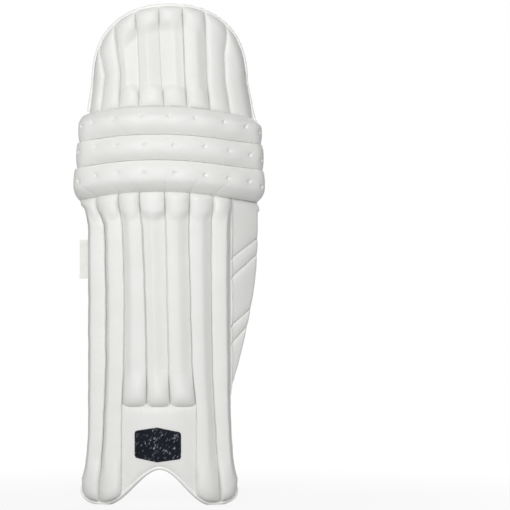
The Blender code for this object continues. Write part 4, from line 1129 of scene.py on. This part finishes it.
def tufted(across, height, roll):
    """How deep the tufts of a roll draw its cloth down: a hole, a soft dent round it, and a crease to one side."""
    drawn = 0.0
    for number, (tuft_x, tuft_height) in enumerate(np.array(TUFTS[roll]) / 1000.0):
        aside = across - across_at(tuft_x, TUFT_VIEW)
        above = height - tuft_height
        turn = 0.5 + 0.35 * math.sin(2.7 * number + roll)
        along = aside * math.cos(turn) + above * math.sin(turn)
        beside = above * math.cos(turn) - aside * math.sin(turn)
        crease = ridge(along, *TUFT_CREASE) * bell(beside - 0.16 * along, TUFT_CREASE_WIDTH)
        hole = np.hypot(aside, np.where(above > 0.0, above / 1.5, above * 1.6))
        drawn = drawn + ridge(hole, *TUFT_HOLE) + ridge(np.hypot(aside, above), *TUFT_DENT) + crease
    return drawn


level = (0.5 - 0.5 * np.cos(np.linspace(0.0, math.pi, 76)))[:, None]
for roll in range(3):
    is_lowest, is_highest = roll == 0, roll == 2
    roll_ends = [across_at(x, ROLL_VIEW) for x in ROLL_ENDS[roll]]
    across = np.linspace(*roll_ends, 420)[None, :]
    from_end = np.minimum(across - roll_ends[0], roll_ends[1] - across)
    full = rounded(from_end, ROLL_END)
    low = roll_arch(KNEE_BOTTOM + ROLL_EDGES[roll], across) + ROLL_GAP / 2
    high = roll_arch(KNEE_BOTTOM + ROLL_EDGES[roll + 1], across, ROLL_TOP_SOFT if is_highest else 1.0) - ROLL_GAP / 2
    height = mix(low, high, 0.5 + (level - 0.5) * mix(0.985, 1.0, full))
    rim = SEAM_RIM + END_RIM * (1.0 - ease(from_end, *END_RIM_FADE))
    if is_lowest:
        rim = mix(ROLL_RIM, rim, ease(level, 0.0, 0.6))
    if is_highest:
        rim = mix(rim, ROLL_RIM, ease(level, 0.4, 1.0))
    swell = rim + (ROLL_CROWN - rim) * (1.0 - np.abs(off_middle(level)) ** 2.2) ** 0.9
    swell = swell * mix(0.30, 1.0, full)
    swell = swell * (1.0 + 0.02 * waver(across, 0.10, 2.0 + roll) + 0.006 * waver(height + across, 0.05, roll))
    swell = swell - tufted(across, height, roll) * mix(0.5, 1.0, full)
    near_edge = np.minimum(height - low, high - height)
    swell = swell + ridge(near_edge, *ROLL_PUCKER) * waver(across, ROLL_PUCKER_LENGTH, 1.0 + roll)
    back_height, seat = height, FRONT_SEAT
    if is_lowest:
        # The wing's top lies in a pocket behind the roll, and the shin's seams run on into it as creases
        back_height = height + WING_POCKET * ease(across, *POCKET_SIDE) * ease(POCKET_LEVEL - level, 0.0, POCKET_LEVEL)
        for seam in range(1, 7):
            lean = 0.35 * (height - low) * (seam - 3.5)
            off = across - across_at(seam_x(seam, KNEE_BOTTOM), SEAM_VIEW) - lean
            fade = np.exp(-np.maximum(height - low, 0.0) / SEAM_CREASE_FADE)
            swell = swell - ridge(off, *SEAM_CREASE) * fade
        height = height - full * ridge(level, *LOW_LIP)
    if is_highest:
        seat = FRONT_SEAT + TOP_LIFT * ease(level, *TOP_LIFT_LEVELS)
        height = height + full * ridge(level, *HIGH_LIP)
    knee_roll = quilt(f"knee_roll_{roll + 1}_leather", wrap(across, height, FRONT_SEAT + np.maximum(swell, 0.001)),
                      wrap(across, back_height, seat))
    sew_on(knee_roll, leathercloth, "knee", "white_leather", f"knee_roll_{roll + 1}")


# Knee pads
# On the leg side of the knee a pad of spacer mesh lies at each side of a smooth panel. A welt runs along their
# inner edges, where they are sewn to the panel.
KNEE_PAD_CROWN = 0.0146
KNEE_PAD_ROUND = 0.018
KNEE_PAD_EDGE = 0.0015
KNEE_PAD_LOW_LIP = (0.0045, 0.05, 0.06)
KNEE_PAD_HIGH_LIP = (0.0009, 0.95, 0.06)
KNEE_PAD_LIP_ROUND = 0.012
KNEE_PAD_GAP = 0.0005
KNEE_PAD_SEAM = (0.0022, 0.0055, 0.0016)
KNEE_PAD_SEAM_ROUND = 0.01
KNEE_PANEL_MIDDLE = 0.013
KNEE_PANEL_HALVES = (0.020, 0.056)
# Name, side, and far edge
KNEE_PADS = (("outer_knee_pad", 1.0, KNEE_OUTER - 0.006), ("inner_knee_pad", -1.0, KNEE_INNER + 0.018))


def knee_height(level, across, out):
    low = arched(KNEE_BOTTOM, across) + seam_half(across, out)
    high = arched(KNEE_TOP, across) - seam_half(across, out)
    return mix(low, high, level)


def six_sided(halves, level):
    """Half the width of an upright six-sided form, from its ends to its waist."""
    return mix(*halves, 1.0 - np.abs(off_middle(level)))


share, level = grid(80, 90)
for name, way, far in KNEE_PADS:
    near = KNEE_PANEL_MIDDLE + way * (six_sided(KNEE_PANEL_HALVES, level) + KNEE_PAD_GAP)
    across = mix(near, far, share)
    width = np.abs(far - near)
    ends = nearer(level) * (KNEE_TOP - KNEE_BOTTOM)
    sides = nearer(share) * width
    swell = (KNEE_PAD_CROWN - 0.001) * rounded(sides, KNEE_PAD_ROUND) * rounded(ends, KNEE_PAD_ROUND)
    swell = swell * (1.0 + 0.03 * waver(across, 0.08, way + 3.0))
    valley = ridge(share * width, *KNEE_PAD_SEAM) * rounded(ends, KNEE_PAD_SEAM_ROUND)
    out = -BOARD_GAP - KNEE_PAD_EDGE - np.maximum(swell - valley, 0.0)
    lip = ridge(level, *KNEE_PAD_HIGH_LIP) - ridge(level, *KNEE_PAD_LOW_LIP)
    height = knee_height(level, across, out) + lip * rounded(sides, KNEE_PAD_LIP_ROUND)
    board_side = wrap(across, knee_height(level, across, -BOARD_GAP), -BOARD_GAP)
    knee_pad = mesh_pad(name + "_mesh", board_side, wrap(across, height, out), way < 0.0)
    sew_on(knee_pad, spacer_mesh, "knee", "white_mesh", name + "_cover")


# Knee centre panel
# A smooth six-sided panel of leathercloth over soft foam lies between the two pads on the leg side of the knee.
# Its long sides are sewn to the pads' welts, and its ends to the knee seams.
KNEE_PANEL_EDGE = 0.0030
KNEE_PANEL_SWELL = 0.0032
KNEE_PANEL_ROUND = 0.010

share, level = np.meshgrid(np.linspace(-1.0, 1.0, 80), np.linspace(0.0, 1.0, 80))
waist = six_sided(KNEE_PANEL_HALVES, level)
across = KNEE_PANEL_MIDDLE + share * (waist - KNEE_PAD_GAP)
edge = np.minimum((1.0 - np.abs(share)) * waist, nearer(level) * ROLL_EDGES[-1])
out = -BOARD_GAP - KNEE_PANEL_EDGE - KNEE_PANEL_SWELL * rounded(edge, KNEE_PANEL_ROUND)
centre_panel = quilt("knee_centre_leather_panel", wrap(across, knee_height(level, across, -BOARD_GAP), -BOARD_GAP),
                     wrap(across, knee_height(level, across, out), out))
sew_on(centre_panel, leathercloth, "knee", "white_leather", "knee_centre_panel")


# Knee patch
# A six-sided patch of the flecked navy cloth is sewn on the middle of the centre panel and left bare.
# A gold thread runs just inside its edge.
PATCH_HALF_HEIGHT = 0.043
PATCH_HALVES = (0.013, 0.037)
PATCH_OUT = 0.0062
PATCH_SWELL = 0.0009
PATCH_SEAT = 0.001
PATCH_BOX = (0.06, 0.086)
PATCH_THREAD_INSET = 0.02
PATCH_THREAD_OUT = 0.0010
PATCH_THREAD = 0.0006

# Metallised gold thread: a warm satin yellow, with darker bands across it as painted shade in the twist of the yarn
gold_thread = patterned("gold_embroidery_thread", "ShaderNodeTexWave", {"Scale": 300.0, "Distortion": 2.0},
                        ("#D9A02E", "#A8741C"), {"Roughness": 0.4}, bands_direction="DIAGONAL")


def knee_patch_spot(share, level, out):
    """A place on the patch: share across and level up, both from 0 to 1."""
    across = KNEE_PANEL_MIDDLE + off_middle(share) * six_sided(PATCH_HALVES, level)
    height = arched(mix(KNEE_BOTTOM, KNEE_TOP, 0.5), across) + off_middle(level) * PATCH_HALF_HEIGHT
    return across, height, -BOARD_GAP - PATCH_OUT - out


share, level = grid(60, 60)
across, height, out = knee_patch_spot(share, level, 0.0)
swell = PATCH_SWELL * rounded(patch_edge(share, level, PATCH_BOX), BADGE_ROUND)
knee_patch = lay("knee_cloth_patch", across, height, out + PATCH_SEAT, out - swell, flat(across, height))
sew_on(knee_patch, navy_cloth, "knee", "navy_fabric")
patch_line = outline_of(knee_patch_spot, PATCH_THREAD_INSET, PATCH_THREAD_OUT)
knee_patch_edge = cord_line("knee_patch_edge_thread", patch_line, PATCH_THREAD)
sew_on(knee_patch_edge, gold_thread, "knee", "navy_fabric")


# Top cover
# The round top of the pad is leathercloth sewn into upright channels: flat-topped ribs that slope to one seam and
# swell into puffs at the knee and under the edge.
TOP_VIEW = 0.004
TOP_SIDES = (across_at(-0.105, TOP_VIEW), across_at(0.1265, TOP_VIEW))
SHOULDER_SIDES = (across_at(-0.0985, TOP_VIEW), across_at(0.1155, TOP_VIEW))
SHOULDER = 0.592
TOP = 0.698
TOP_CURVE = 2.2
HIGH_KNEE_BEND = (0.552, 0.580)
TOP_PUFF = 0.0100
RIB_END_PUFF = 0.0034
LOW_END_PUFF = 0.0010
TOP_BOW = 0.005
TOP_RIB_EDGE = (0.018, 0.036)
TOP_RIB_KNEE = (0.021, 0.037)
TOP_CREASE = (0.0005, 0.031, 0.003)
TOP_EDGE_ROUND = 0.013
TOP_KNEE_ROUND = 0.010
COVER_INSET = 0.0033
# Seams from the inner side to the outer, each from the knee up, in mm: distance from the shin line and height
TOP_SEAMS = (
    ((-85.5, 550.0), (-79.9, 599.0), (-88.3, 628.0)),
    ((-61.2, 555.0), (-58.4, 599.0), (-62.5, 628.0), (-68.1, 669.0)),
    ((-33.4, 556.0), (-33.4, 599.0), (-36.1, 657.5), (-38.9, 685.0)),
    ((1.4, 559.0), (-1.4, 599.0), (-4.2, 657.5), (-5.6, 692.0)),
    ((33.4, 556.0), (30.6, 599.0), (27.1, 689.0)),
    ((65.3, 553.0), (61.2, 592.0), (58.4, 678.0)),
    ((93.1, 548.0), (86.2, 592.0), (84.8, 628.0), (88.5, 655.0)),
)
TOP_STRIPS = (0.0, 0.0, 0.30, 0.41, 0.39, 0.36, 0.0, 0.0)
TOP_CENTRE = 4
TOP_LOW_CHANNELS = (2, 3, 4)


def dome_spot(share, level, knee_gap=0.0, inset=COVER_INSET):
    """Across and height on the top: straight sides to the shoulders, and a round crown over them."""
    low_across = mix(TOP_SIDES[0] + inset, TOP_SIDES[1] - inset, share)
    high_across = mix(SHOULDER_SIDES[0] + inset, SHOULDER_SIDES[1] - inset, share)
    low = arched(KNEE_TOP, low_across) + knee_gap
    round_share = 1.0 - np.abs(off_middle(share)) ** TOP_CURVE
    high = SHOULDER + (TOP - SHOULDER - inset) * round_share ** (1.0 / TOP_CURVE)
    return mix(low_across, high_across, level), mix(low, high, level)


def dome_share(x, height):
    """The share and level on the top of a place that is seen from the front, found by closing in on it."""
    share = 0.5
    for _ in range(40):
        foot, head = dome_spot(share, 0.0)[1], dome_spot(share, 1.0)[1]
        level = np.clip((height - foot) / (head - foot), 0.0, 1.0)
        left, right = dome_spot(0.0, level)[0], dome_spot(1.0, level)[0]
        share = np.clip((across_at(x, SEAM_OUT) - left) / (right - left), 0.004, 0.996)
    return share, level


def top_seam(seam, level):
    """The share across of a seam at a level. The first and last are the top's sides."""
    if seam in (0, 8):
        return np.full_like(level, seam / 8.0)
    shares, levels = zip(*(dome_share(x, height) for x, height in np.array(TOP_SEAMS[seam - 1]) / 1000.0))
    return np.interp(level, levels, shares)


crown = 0.5 - 0.5 * np.cos(np.linspace(0.0, math.pi, 240))
side_level = np.linspace(0.0, 1.0, 30)
top_outline = np.concatenate([flat(*dome_spot(*spots)) for spots in (
    (crown, np.ones(240)), (np.zeros(30), side_level), (np.ones(30), side_level))])


def from_top_edge(across, height):
    """Distance from the edge that the binding covers."""
    nearest = np.full(across.shape, 1.0)
    for edge_across, edge_height in top_outline:
        nearest = np.minimum(nearest, np.hypot(across - edge_across, height - edge_height))
    return nearest


def top_spot(channel, step, levels):
    """A place on the top cover, at a share of the way across a channel: across, height and distance out."""
    left, right = top_seam(channel, levels), top_seam(channel + 1, levels)
    share = mix(left, right, step)
    across, height = dome_spot(share, levels)
    edge = from_top_edge(across, height)
    knee = height - dome_spot(share, 0.0)[1]
    rise = TOP_PUFF * mix(0.25, 1.0, pillow(step, 2.2))
    if TOP_STRIPS[channel]:
        is_low = channel in TOP_LOW_CHANNELS
        puff = rise + (LOW_END_PUFF if is_low else RIB_END_PUFF) * pillow(step, 2.2)
        ends = dome_spot(left, levels)[0], dome_spot(right, levels)[0]
        from_centre = 1.0 - step if channel < TOP_CENTRE else step
        rise = ribbed(from_centre, TOP_STRIPS[channel], is_low, ends[1] - ends[0], facing(*ends))
        bow = TOP_BOW * off_middle(step) ** 2
        in_rib = ease(edge, *TOP_RIB_EDGE) * ease(knee, TOP_RIB_KNEE[0] - bow, TOP_RIB_KNEE[1] - bow)
        rise = mix(puff, rise, in_rib) - ridge(knee + bow, *TOP_CREASE)
    rise = rise * mix(0.03, 1.0, rounded(edge, TOP_EDGE_ROUND)) * mix(0.45, 1.0, rounded(knee, TOP_KNEE_ROUND))
    rise = rise * (1.0 + 0.03 * waver(height, 0.09, 2.0 + channel) + 0.008 * waver(height, 0.027, 7.0 + channel))
    out = SEAM_OUT + np.maximum(rise, 0.0)
    return across_at(seen_at(across, SEAM_OUT), out), height, out


def top_steps(channel):
    """Shares across a channel, also closer together at the top's sides."""
    steps = channel_steps(channel == 7)
    if channel == 0:
        return steps ** 2
    return 1.0 - (1.0 - steps) ** 2 if channel == 7 else steps


top_levels = np.linspace(0.0, 1.0, 150)[:, None]
top_cover = cover_of("top_leather_cover", [top_spot(channel, top_steps(channel), top_levels) for channel in range(8)])
sew_over(top_cover, leathercloth, ("knee", "top"), HIGH_KNEE_BEND, "white_leather", "top_cover")


# Top canes
# Six foam canes stiffen the ribs of the top, as in the shin. Each is slid into its channel and held by the seams on
# both sides of it.
TOP_CANE_LEVELS = (0.30, 0.78)
TOP_CANE_RISE = 0.0085

cane_levels = np.linspace(*TOP_CANE_LEVELS, 30)[:, None]
for channel in range(1, 7):
    shares = cane_shares(TOP_STRIPS[channel], channel < TOP_CENTRE)
    share = mix(top_seam(channel, cane_levels), top_seam(channel + 1, cane_levels), shares)
    rib_rise = LOW_RIB_RISE if channel in TOP_LOW_CHANNELS else TOP_CANE_RISE
    cane = lay_cane(f"top_cane_{channel}", *dome_spot(share, cane_levels), rib_rise)
    sew_on(cane, cut_foam, "top", "foam", f"top_rod_{channel}")


# Stitching of the top seams
# The same white bonded thread runs down the five middle seams of the top and holds the cover to its board.
# The stitches have the shin's length.
TOP_STITCH_LINES = ((2, 0.05), (3, 0.04), (3, 0.96), (4, 0.96), (5, 0.955))
TOP_STITCH_LEVELS = (0.07, 0.93)

top_runs = []
for channel, step in TOP_STITCH_LINES:
    across, height, out = top_spot(channel, step, np.linspace(*TOP_STITCH_LEVELS, 60))
    top_runs.append(wrap(across, height, out + STITCH_LIFT))
top_stitching = stitches("top_stitching", top_runs, from_wrap_axis)
sew_over(top_stitching, thread, ("knee", "top"), HIGH_KNEE_BEND, "white_leather")


# Top lining
# The leg side of the top is lined with the flecked navy cloth over thin wadding, sewn in all round and left bare.
# A black cord runs along its sides and crown, dark as painted shade for the lining's turned edge.
TOP_INSET = 0.0049
LINING_EDGE = 0.0020
LINING_PUFF = 0.0018
LINING_RIPPLE = 0.0003
LINING_ROUND = 0.018
LINING_SHADE_CORD = 0.0013
LINING_SHADE_CORD_OUT = 0.0016
LINING_SHADE_CORD_ROW = 6

lining_share = (0.5 - 0.5 * np.cos(np.linspace(0.0, math.pi, 110)))[None, :]
lining_gap = seam_half(mix(*TOP_SIDES, lining_share), -BOARD_GAP)
across, height = dome_spot(lining_share, np.linspace(0.0, 1.0, 90)[:, None], lining_gap, TOP_INSET)
from_knee = height - dome_spot(lining_share, 0.0, lining_gap, TOP_INSET)[1]
full = rounded(np.minimum(from_top_edge(across, height), from_knee), LINING_ROUND)
puff = LINING_EDGE + (LINING_PUFF + LINING_RIPPLE * waver(across - height, 0.05, 1.0)) * full
top_lining = lay("top_lining_cloth", across, height, -BOARD_GAP, -BOARD_GAP - puff, flat(across, height))
sew_on(top_lining, navy_cloth, "top", "navy_fabric", "top_lining")
# The black cord along the sides and crown stands in for the shade along the lining's turned edge
rim = wrap(across, height, -BOARD_GAP - LINING_SHADE_CORD_OUT)
rim_run = np.concatenate((rim[LINING_SHADE_CORD_ROW:-1, 0], rim[-1], rim[-2:LINING_SHADE_CORD_ROW - 1:-1, -1]))
lining_shade_cord = cord_line("top_lining_shade_cord", rim_run, LINING_SHADE_CORD, closed=False)
sew_on(lining_shade_cord, edge_shade_cord, "top", "navy_fabric")


# Top binding
# White tape is folded over the edge of the top and down both its sides, and stitched through the cover, the board
# and the lining.
TOP_TAPE_INSET = 0.0026
TOP_TAPE_GAP = 0.002
TOP_TAPE_DEEP = 0.0074
TOP_TAPE_OUT = 0.0022

side_level = np.linspace(0.05, 0.98, 16)
top_edge = np.concatenate([flat(*dome_spot(*spots, TOP_TAPE_GAP, TOP_TAPE_INSET)) for spots in (
    (np.zeros(16), side_level), (crown, np.ones(240)), (np.ones(16), side_level[::-1]))])
tape_run, _ = even(top_edge, TAPE_STEP)
top_binding = binding("top_binding_tape", tape_run, TOP_TAPE_DEEP, BINDING_WIDE, TOP_TAPE_OUT)
sew_over(top_binding, tape, ("knee", "top"), HIGH_KNEE_BEND, "white_binding", "top_binding")


# Straps
# Three bands of woven webbing close the pad round the leg: a narrow one behind the knee and two wide ones behind
# the calf and ankle. Each is folded round the bar of a ring, sewn down, and ends in a stiff tip.
WEB = 0.0020
EYE_RADIUS = 0.0034
EYE_ARC = (math.radians(32.0), math.radians(328.0))
FOLD_START = 0.0085
FOLD_LENGTH = 0.024
FOLD_RISE = (0.005, 0.011)
SELVEDGE = 0.0015
STRAP_BOW = 0.016
BAND_STEP = 0.0011
LAYER = 0.0005
PATCH = 0.0012
BAR_STITCH = (0.0028, 0.0023, 0.0005)
FOLD_BARS = (0.003, 0.0055)
TIP_BARS = (0.005, 0.0075)
SHIN_LANDING = (-0.090, SKIN_OUT)
KNEE_LANDING = (KNEE_INNER + 0.012, 0.0)
# Name, height, width, landing place of the tip, and number of dark stripes
STRAPS = (
    ("ankle", 0.137, 0.057, SHIN_LANDING, 2),
    ("calf", 0.343, 0.057, SHIN_LANDING, 2),
    ("knee", 0.473, 0.030, KNEE_LANDING, 1),
)
STRIPE_MIDDLE = 0.0140
STRIPE_EDGE = (0.0070, 0.0074)
STRIPE_RAGGED = 0.0007
DASH_ROW = 0.0031
DASH_HALF = 0.0010
DASH_PITCH = 0.0104
DASH_LENGTH = 0.0072
DASH_LEAN = 0.12
joint_places = {joint["name"]: np.array(joint["pos_m"]) for joint in frame["record"]["behaviour"]["joints"]}


def webbing(name, stripes):
    """Woven polyester webbing, white with fine ribs 1.1 mm apart along the band. Dark stripes 14 mm wide run along
    it, each with two rows of gold-brown dashes."""
    material, tree, shader, place = finish(name, "UV")
    along, up, _ = put(tree, "ShaderNodeSeparateXYZ", {0: place}).outputs
    ragged = put(tree, "ShaderNodeTexWave", {"Vector": place, "Scale": 310.0}, bands_direction="X").outputs["Fac"]
    ribs = put(tree, "ShaderNodeTexWave", {"Vector": place, "Scale": 145.0}, bands_direction="Y").outputs["Fac"]
    if stripes == 2:
        up = maths(tree, "SUBTRACT", maths(tree, "ABSOLUTE", up), STRIPE_MIDDLE)
    aside = maths(tree, "ABSOLUTE", up)
    uneven = maths(tree, "ADD", aside, maths(tree, "MULTIPLY", ragged, STRIPE_RAGGED))
    in_stripe = ranged(tree, uneven, *STRIPE_EDGE, 1.0, 0.0)
    off_row = maths(tree, "ABSOLUTE", maths(tree, "SUBTRACT", aside, DASH_ROW))
    shifted = maths(tree, "ADD", along, maths(tree, "MULTIPLY", up, DASH_LEAN))
    turn = maths(tree, "ADD", maths(tree, "MODULO", shifted, DASH_PITCH), DASH_PITCH)
    in_dash = maths(tree, "LESS_THAN", maths(tree, "MODULO", turn, DASH_PITCH), DASH_LENGTH)
    dash = maths(tree, "MULTIPLY", maths(tree, "LESS_THAN", off_row, DASH_HALF), in_dash)
    white_yarn = between(tree, ribs, "#E3E3E5", "#F7F7F8")
    dark_yarn = between(tree, ragged, "#0A0D18", "#141A2C")
    gold_yarn = between(tree, ragged, "#8E5F24", "#B07C34")
    tone = between(tree, in_stripe, white_yarn, between(tree, dash, dark_yarn, gold_yarn))
    weave = relief(tree, maths(tree, "MULTIPLY", ribs, ragged), 0.6, 0.0003)
    wire(shader, {"Base Color": tone, "Normal": weave, "Roughness": 0.7, "Sheen Weight": 0.03,
                  "Specular IOR Level": 0.25})
    return material


webbings = {2: webbing("striped_polyester_webbing_wide", 2), 1: webbing("striped_polyester_webbing_narrow", 1)}


def right_of(path):
    """Directions to the right of a run of points in plan."""
    run = unit(np.gradient(path, axis=0))
    return np.stack((run[:, 1], -run[:, 0]), axis=-1)


def round_bar(bar, first):
    """An arc round a bar that starts and ends beside the point that the band leaves towards."""
    turns = math.atan2(first[1] - bar[1], first[0] - bar[0]) + np.linspace(*EYE_ARC, 22)
    return bar + EYE_RADIUS * np.stack((np.cos(turns), np.sin(turns)), axis=-1)


def band(name, path, level, width):
    """Webbing of a width that stands on edge along a path in plan, with rounded selvedges."""
    path, along = even(path, BAND_STEP)
    up = (np.linspace(-0.5, 0.5, 30) * width)[:, None]
    half = WEB / 2 * mix(0.55, 1.0, rounded(width / 2 - np.abs(up), SELVEDGE))[..., None]
    faces = []
    for sign in (1.0, -1.0):
        plan = path[None] + sign * half * right_of(path)[None]
        faces.append(np.stack(np.broadcast_arrays(plan[..., 0], plan[..., 1], level + up), axis=-1))
    return quilt(name, *faces, flat(along[None, :], up))


def tip_seat(landing):
    """Distance out of the tip's pad side, over the two patches that hold it."""
    return landing[1] - 3.0 * LAYER - 2.0 * PATCH


strap_lines = {}
for name, strap_level, strap_width, landing, stripes in STRAPS:
    bar = joint_places[name + "_strap_swing"][:2]
    run = wrap(landing[0], 0.0, tip_seat(landing) - WEB / 2)[:2] - bar
    length = math.hypot(*run)
    lift = np.array((run[1], -run[0])) / length
    shares = np.linspace(FOLD_START / length, 1.0, 200)[:, None]
    outer = bar + run * shares + lift * 4.0 * STRAP_BOW * shares * (1.0 - shares)
    side = right_of(outer)
    along = shares[:, 0] * length
    folded = along < FOLD_LENGTH
    fold_out = mix(WEB * 0.6, WEB * 1.08, ease(along[folded], *FOLD_RISE))[:, None]
    under = outer[folded] - side[folded] * fold_out
    strap = band(name + "_strap_webbing", np.concatenate((under[::-1], round_bar(bar, outer[0]), outer)), strap_level,
                 strap_width)
    sew_on(strap, webbings[stripes], name + "_strap", "webbing", name + "_strap")
    strap_lines[name] = (outer, side, along)

    heights = np.linspace(-0.47, 0.47, 40)[:, None] * strap_width + strap_level
    bars = []
    for spot in [FOLD_LENGTH - bar_in for bar_in in FOLD_BARS] + [length - bar_in for bar_in in TIP_BARS]:
        plan = places_along(outer + side * WEB / 2, along, spot)
        bars.append(np.concatenate((np.broadcast_to(plan, (40, 2)), heights), axis=1))
    bar_stitching = stitches(name + "_strap_stitching", bars, towards_leg, *BAR_STITCH)
    sew_on(bar_stitching, thread, name + "_strap", "webbing")


# Anchors
# A short loop of the strap's own webbing is folded round the outer bar of each ring, and both its ends are sewn to
# the pad's edge.
ANCHORS = (("ankle", "shin"), ("calf", "wing"), ("knee", "knee"))
ANCHOR_START = 0.0075
ANCHOR_INSET = 0.0006

for (name, body), (_, strap_level, strap_width, _, stripes) in zip(ANCHORS, STRAPS):
    bar = joint_places[name + "_ring_swivel"][:2]
    low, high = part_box(name + "_anchor")
    toward = np.array((high[0] - ANCHOR_INSET, low[1] + WEB / 2)) - bar
    outer = bar + unit(toward) * np.linspace(ANCHOR_START, math.hypot(*toward), 24)[:, None]
    opening = WEB * 0.5 * (1.0 - ease(np.linspace(0.0, 1.0, 24), 0.0, 0.5))[:, None] * right_of(outer)
    path = np.concatenate(((outer - opening)[::-1], round_bar(bar, outer[0]), outer + opening))
    anchor = band(name + "_anchor_webbing", path, strap_level, strap_width)
    sew_on(anchor, webbings[stripes], body, "webbing", name + "_anchor")


# Rings
# A plain rectangular ring of moulded white nylon joins each anchor to its strap. The anchor's loop and the strap's
# fold each turn on one of its long bars.
BAR_RADIUS = 0.0021
RING_CORNER = 0.0036
RING_ROOM = 0.0034

# Moulded nylon: clean white with a soft gloss and the faint unevenness of a moulding
nylon, tree, shader, place = finish("white_moulded_nylon")
uneven = put(tree, "ShaderNodeTexNoise", {"Vector": place, "Scale": 120.0, "Detail": 2.0}).outputs["Fac"]
wire(shader, {"Base Color": between(tree, uneven, "#F5F5F4", "#E9E9E8"),
              "Roughness": ranged(tree, uneven, 0.0, 1.0, 0.25, 0.4)})

for name, ring_level, strap_width, _, _ in STRAPS:
    bars = [joint_places[name + "_ring_swivel"], joint_places[name + "_strap_swing"]]
    middle = (bars[0] + bars[1]) / 2
    half_run = np.linalg.norm((bars[0] - bars[1])[:2]) / 2
    run = (bars[0] - bars[1]) / (2.0 * half_run)
    half_up = strap_width / 2 + RING_ROOM
    route = []
    for quarter, (side, up) in enumerate(((1, 1), (-1, 1), (-1, -1), (1, -1))):
        for turn in np.radians(90.0 * quarter + np.linspace(0.0, 90.0, 7)):
            along = side * (half_run - RING_CORNER) + RING_CORNER * math.cos(turn)
            rise = up * (half_up - RING_CORNER) + RING_CORNER * math.sin(turn)
            route.append((middle[0] + run[0] * along, middle[1] + run[1] * along, ring_level + rise))
    ring = cord_line(name + "_ring_nylon", np.array(route), BAR_RADIUS)
    sew_on(ring, nylon, name + "_ring", "white_plastic", name + "_ring")


# Tips
# Each strap ends in a stiff pointed tip to pull it open by: black rubber at the calf and knee, white nylon at the
# ankle. It is sewn to the webbing's end and carries the hook tape.
TIP_LENGTH = 0.015
TIP_SHOULDER = 0.3
TIP_ROUND = 0.0018
TIP_RIB = 0.0003

# Moulded rubber: near black and matt, with a faint dusty unevenness
rubber = patterned("black_moulded_rubber", "ShaderNodeTexNoise", {"Scale": 240.0, "Detail": 3.0},
                   ("#232829", "#343A3B"), {"Roughness": 0.55}, (0.3, 0.0003))

share, up = np.meshgrid(np.linspace(1.0, 0.0, 26), np.linspace(-1.0, 1.0, 40))
for name, tip_level, strap_width, landing, _ in STRAPS:
    narrowing = np.maximum(0.0, share - TIP_SHOULDER) / (1.0 - TIP_SHOULDER)
    half = strap_width / 2 * mix(1.0, 0.5, narrowing)
    edge = np.minimum((1.0 - np.abs(up)) * half, (1.0 - share) * TIP_LENGTH)
    thick = WEB * mix(0.45, 1.0, rounded(edge, TIP_ROUND))
    rib = TIP_RIB * np.sin(share * 6.0 * math.pi) * (edge > 0.003)
    tip = lay(name + "_tip_end", landing[0] - LAYER - share * TIP_LENGTH, tip_level + up * half, tip_seat(landing),
              tip_seat(landing) - thick - rib)
    sew_on(tip, nylon if name == "ankle" else rubber, name + "_tip",
           "white_plastic" if name == "ankle" else "black_rubber", name + "_tip")


# Fastening patches
# Hook tape sewn under each tip grips a patch of pile tape that is sewn to the pad's inner edge. Both are flat, so
# their solids stay as they are and only get their finish.

# Hook and pile tape: off-white, fuzzy and quite matt
pile_tape = patterned("off_white_hook_and_pile_tape", "ShaderNodeTexNoise", {"Scale": 900.0, "Detail": 4.0},
                      ("#F0EFEA", "#D6D5CE"), {"Roughness": 0.9, "Sheen Weight": 0.3}, (0.8, 0.0005))

for name, *_ in STRAPS:
    dress(name + "_hook_patch", pile_tape)
    dress(name + "_pile_patch", pile_tape)


# Calf strap badge
# A long six-sided patch of the navy cloth, bonded on the outside of the calf strap and left bare. A thread of the
# same navy runs along its long edges.
STRAP_BADGE_WIDTH = 0.088
STRAP_BADGE_POINT = 0.020
STRAP_BADGE_PLACE = 0.44
STRAP_BADGE_SEAT = 0.0002
STRAP_BADGE_OUT = 0.0005
STRAP_BADGE_ROUND = 0.0018
STRAP_BADGE_THREAD = 0.00035
STRAP_BADGE_THREAD_OUT = 0.0018
_, calf_level, calf_width, _, _ = STRAPS[1]
calf_outer, calf_side, calf_along = strap_lines["calf"]


def strap_badge_spot(share, level, out):
    """A place on the badge: share along and level up, both from 0 to 1."""
    at = STRAP_BADGE_PLACE * calf_along[-1] + (share - 0.5) * STRAP_BADGE_WIDTH
    lift = np.asarray(WEB / 2 + out)[..., None]
    plan = places_along(calf_outer, calf_along, at) + places_along(calf_side, calf_along, at) * lift
    from_point = np.clip(nearer(share) * STRAP_BADGE_WIDTH / STRAP_BADGE_POINT, 0.0, 1.0)
    height = calf_level + off_middle(level) * calf_width / 2 * mix(0.04, 1.0, from_point)
    return np.stack((plan[..., 0], plan[..., 1], height), axis=-1)


share, level = grid(90, 50)
edge = patch_edge(share, level, (STRAP_BADGE_WIDTH, calf_width))
front = strap_badge_spot(share, level, STRAP_BADGE_OUT + PATCH * rounded(edge, STRAP_BADGE_ROUND))
strap_badge = quilt("calf_strap_cloth_badge", front, strap_badge_spot(share, level, STRAP_BADGE_SEAT),
                    flat(share * STRAP_BADGE_WIDTH, level * calf_width))
sew_on(strap_badge, navy_cloth, "calf_strap", "navy_fabric", "calf_strap_badge")
run = np.linspace(0.05, 0.95, 60)
shares = np.concatenate((run, run[::-1]))
levels = np.repeat((0.07, 0.93), 60)
badge_line = strap_badge_spot(shares, levels, STRAP_BADGE_THREAD_OUT)
badge_thread = cord_line("calf_badge_edge_thread", badge_line, STRAP_BADGE_THREAD)
sew_on(badge_thread, navy_cloth, "calf_strap", "navy_fabric")
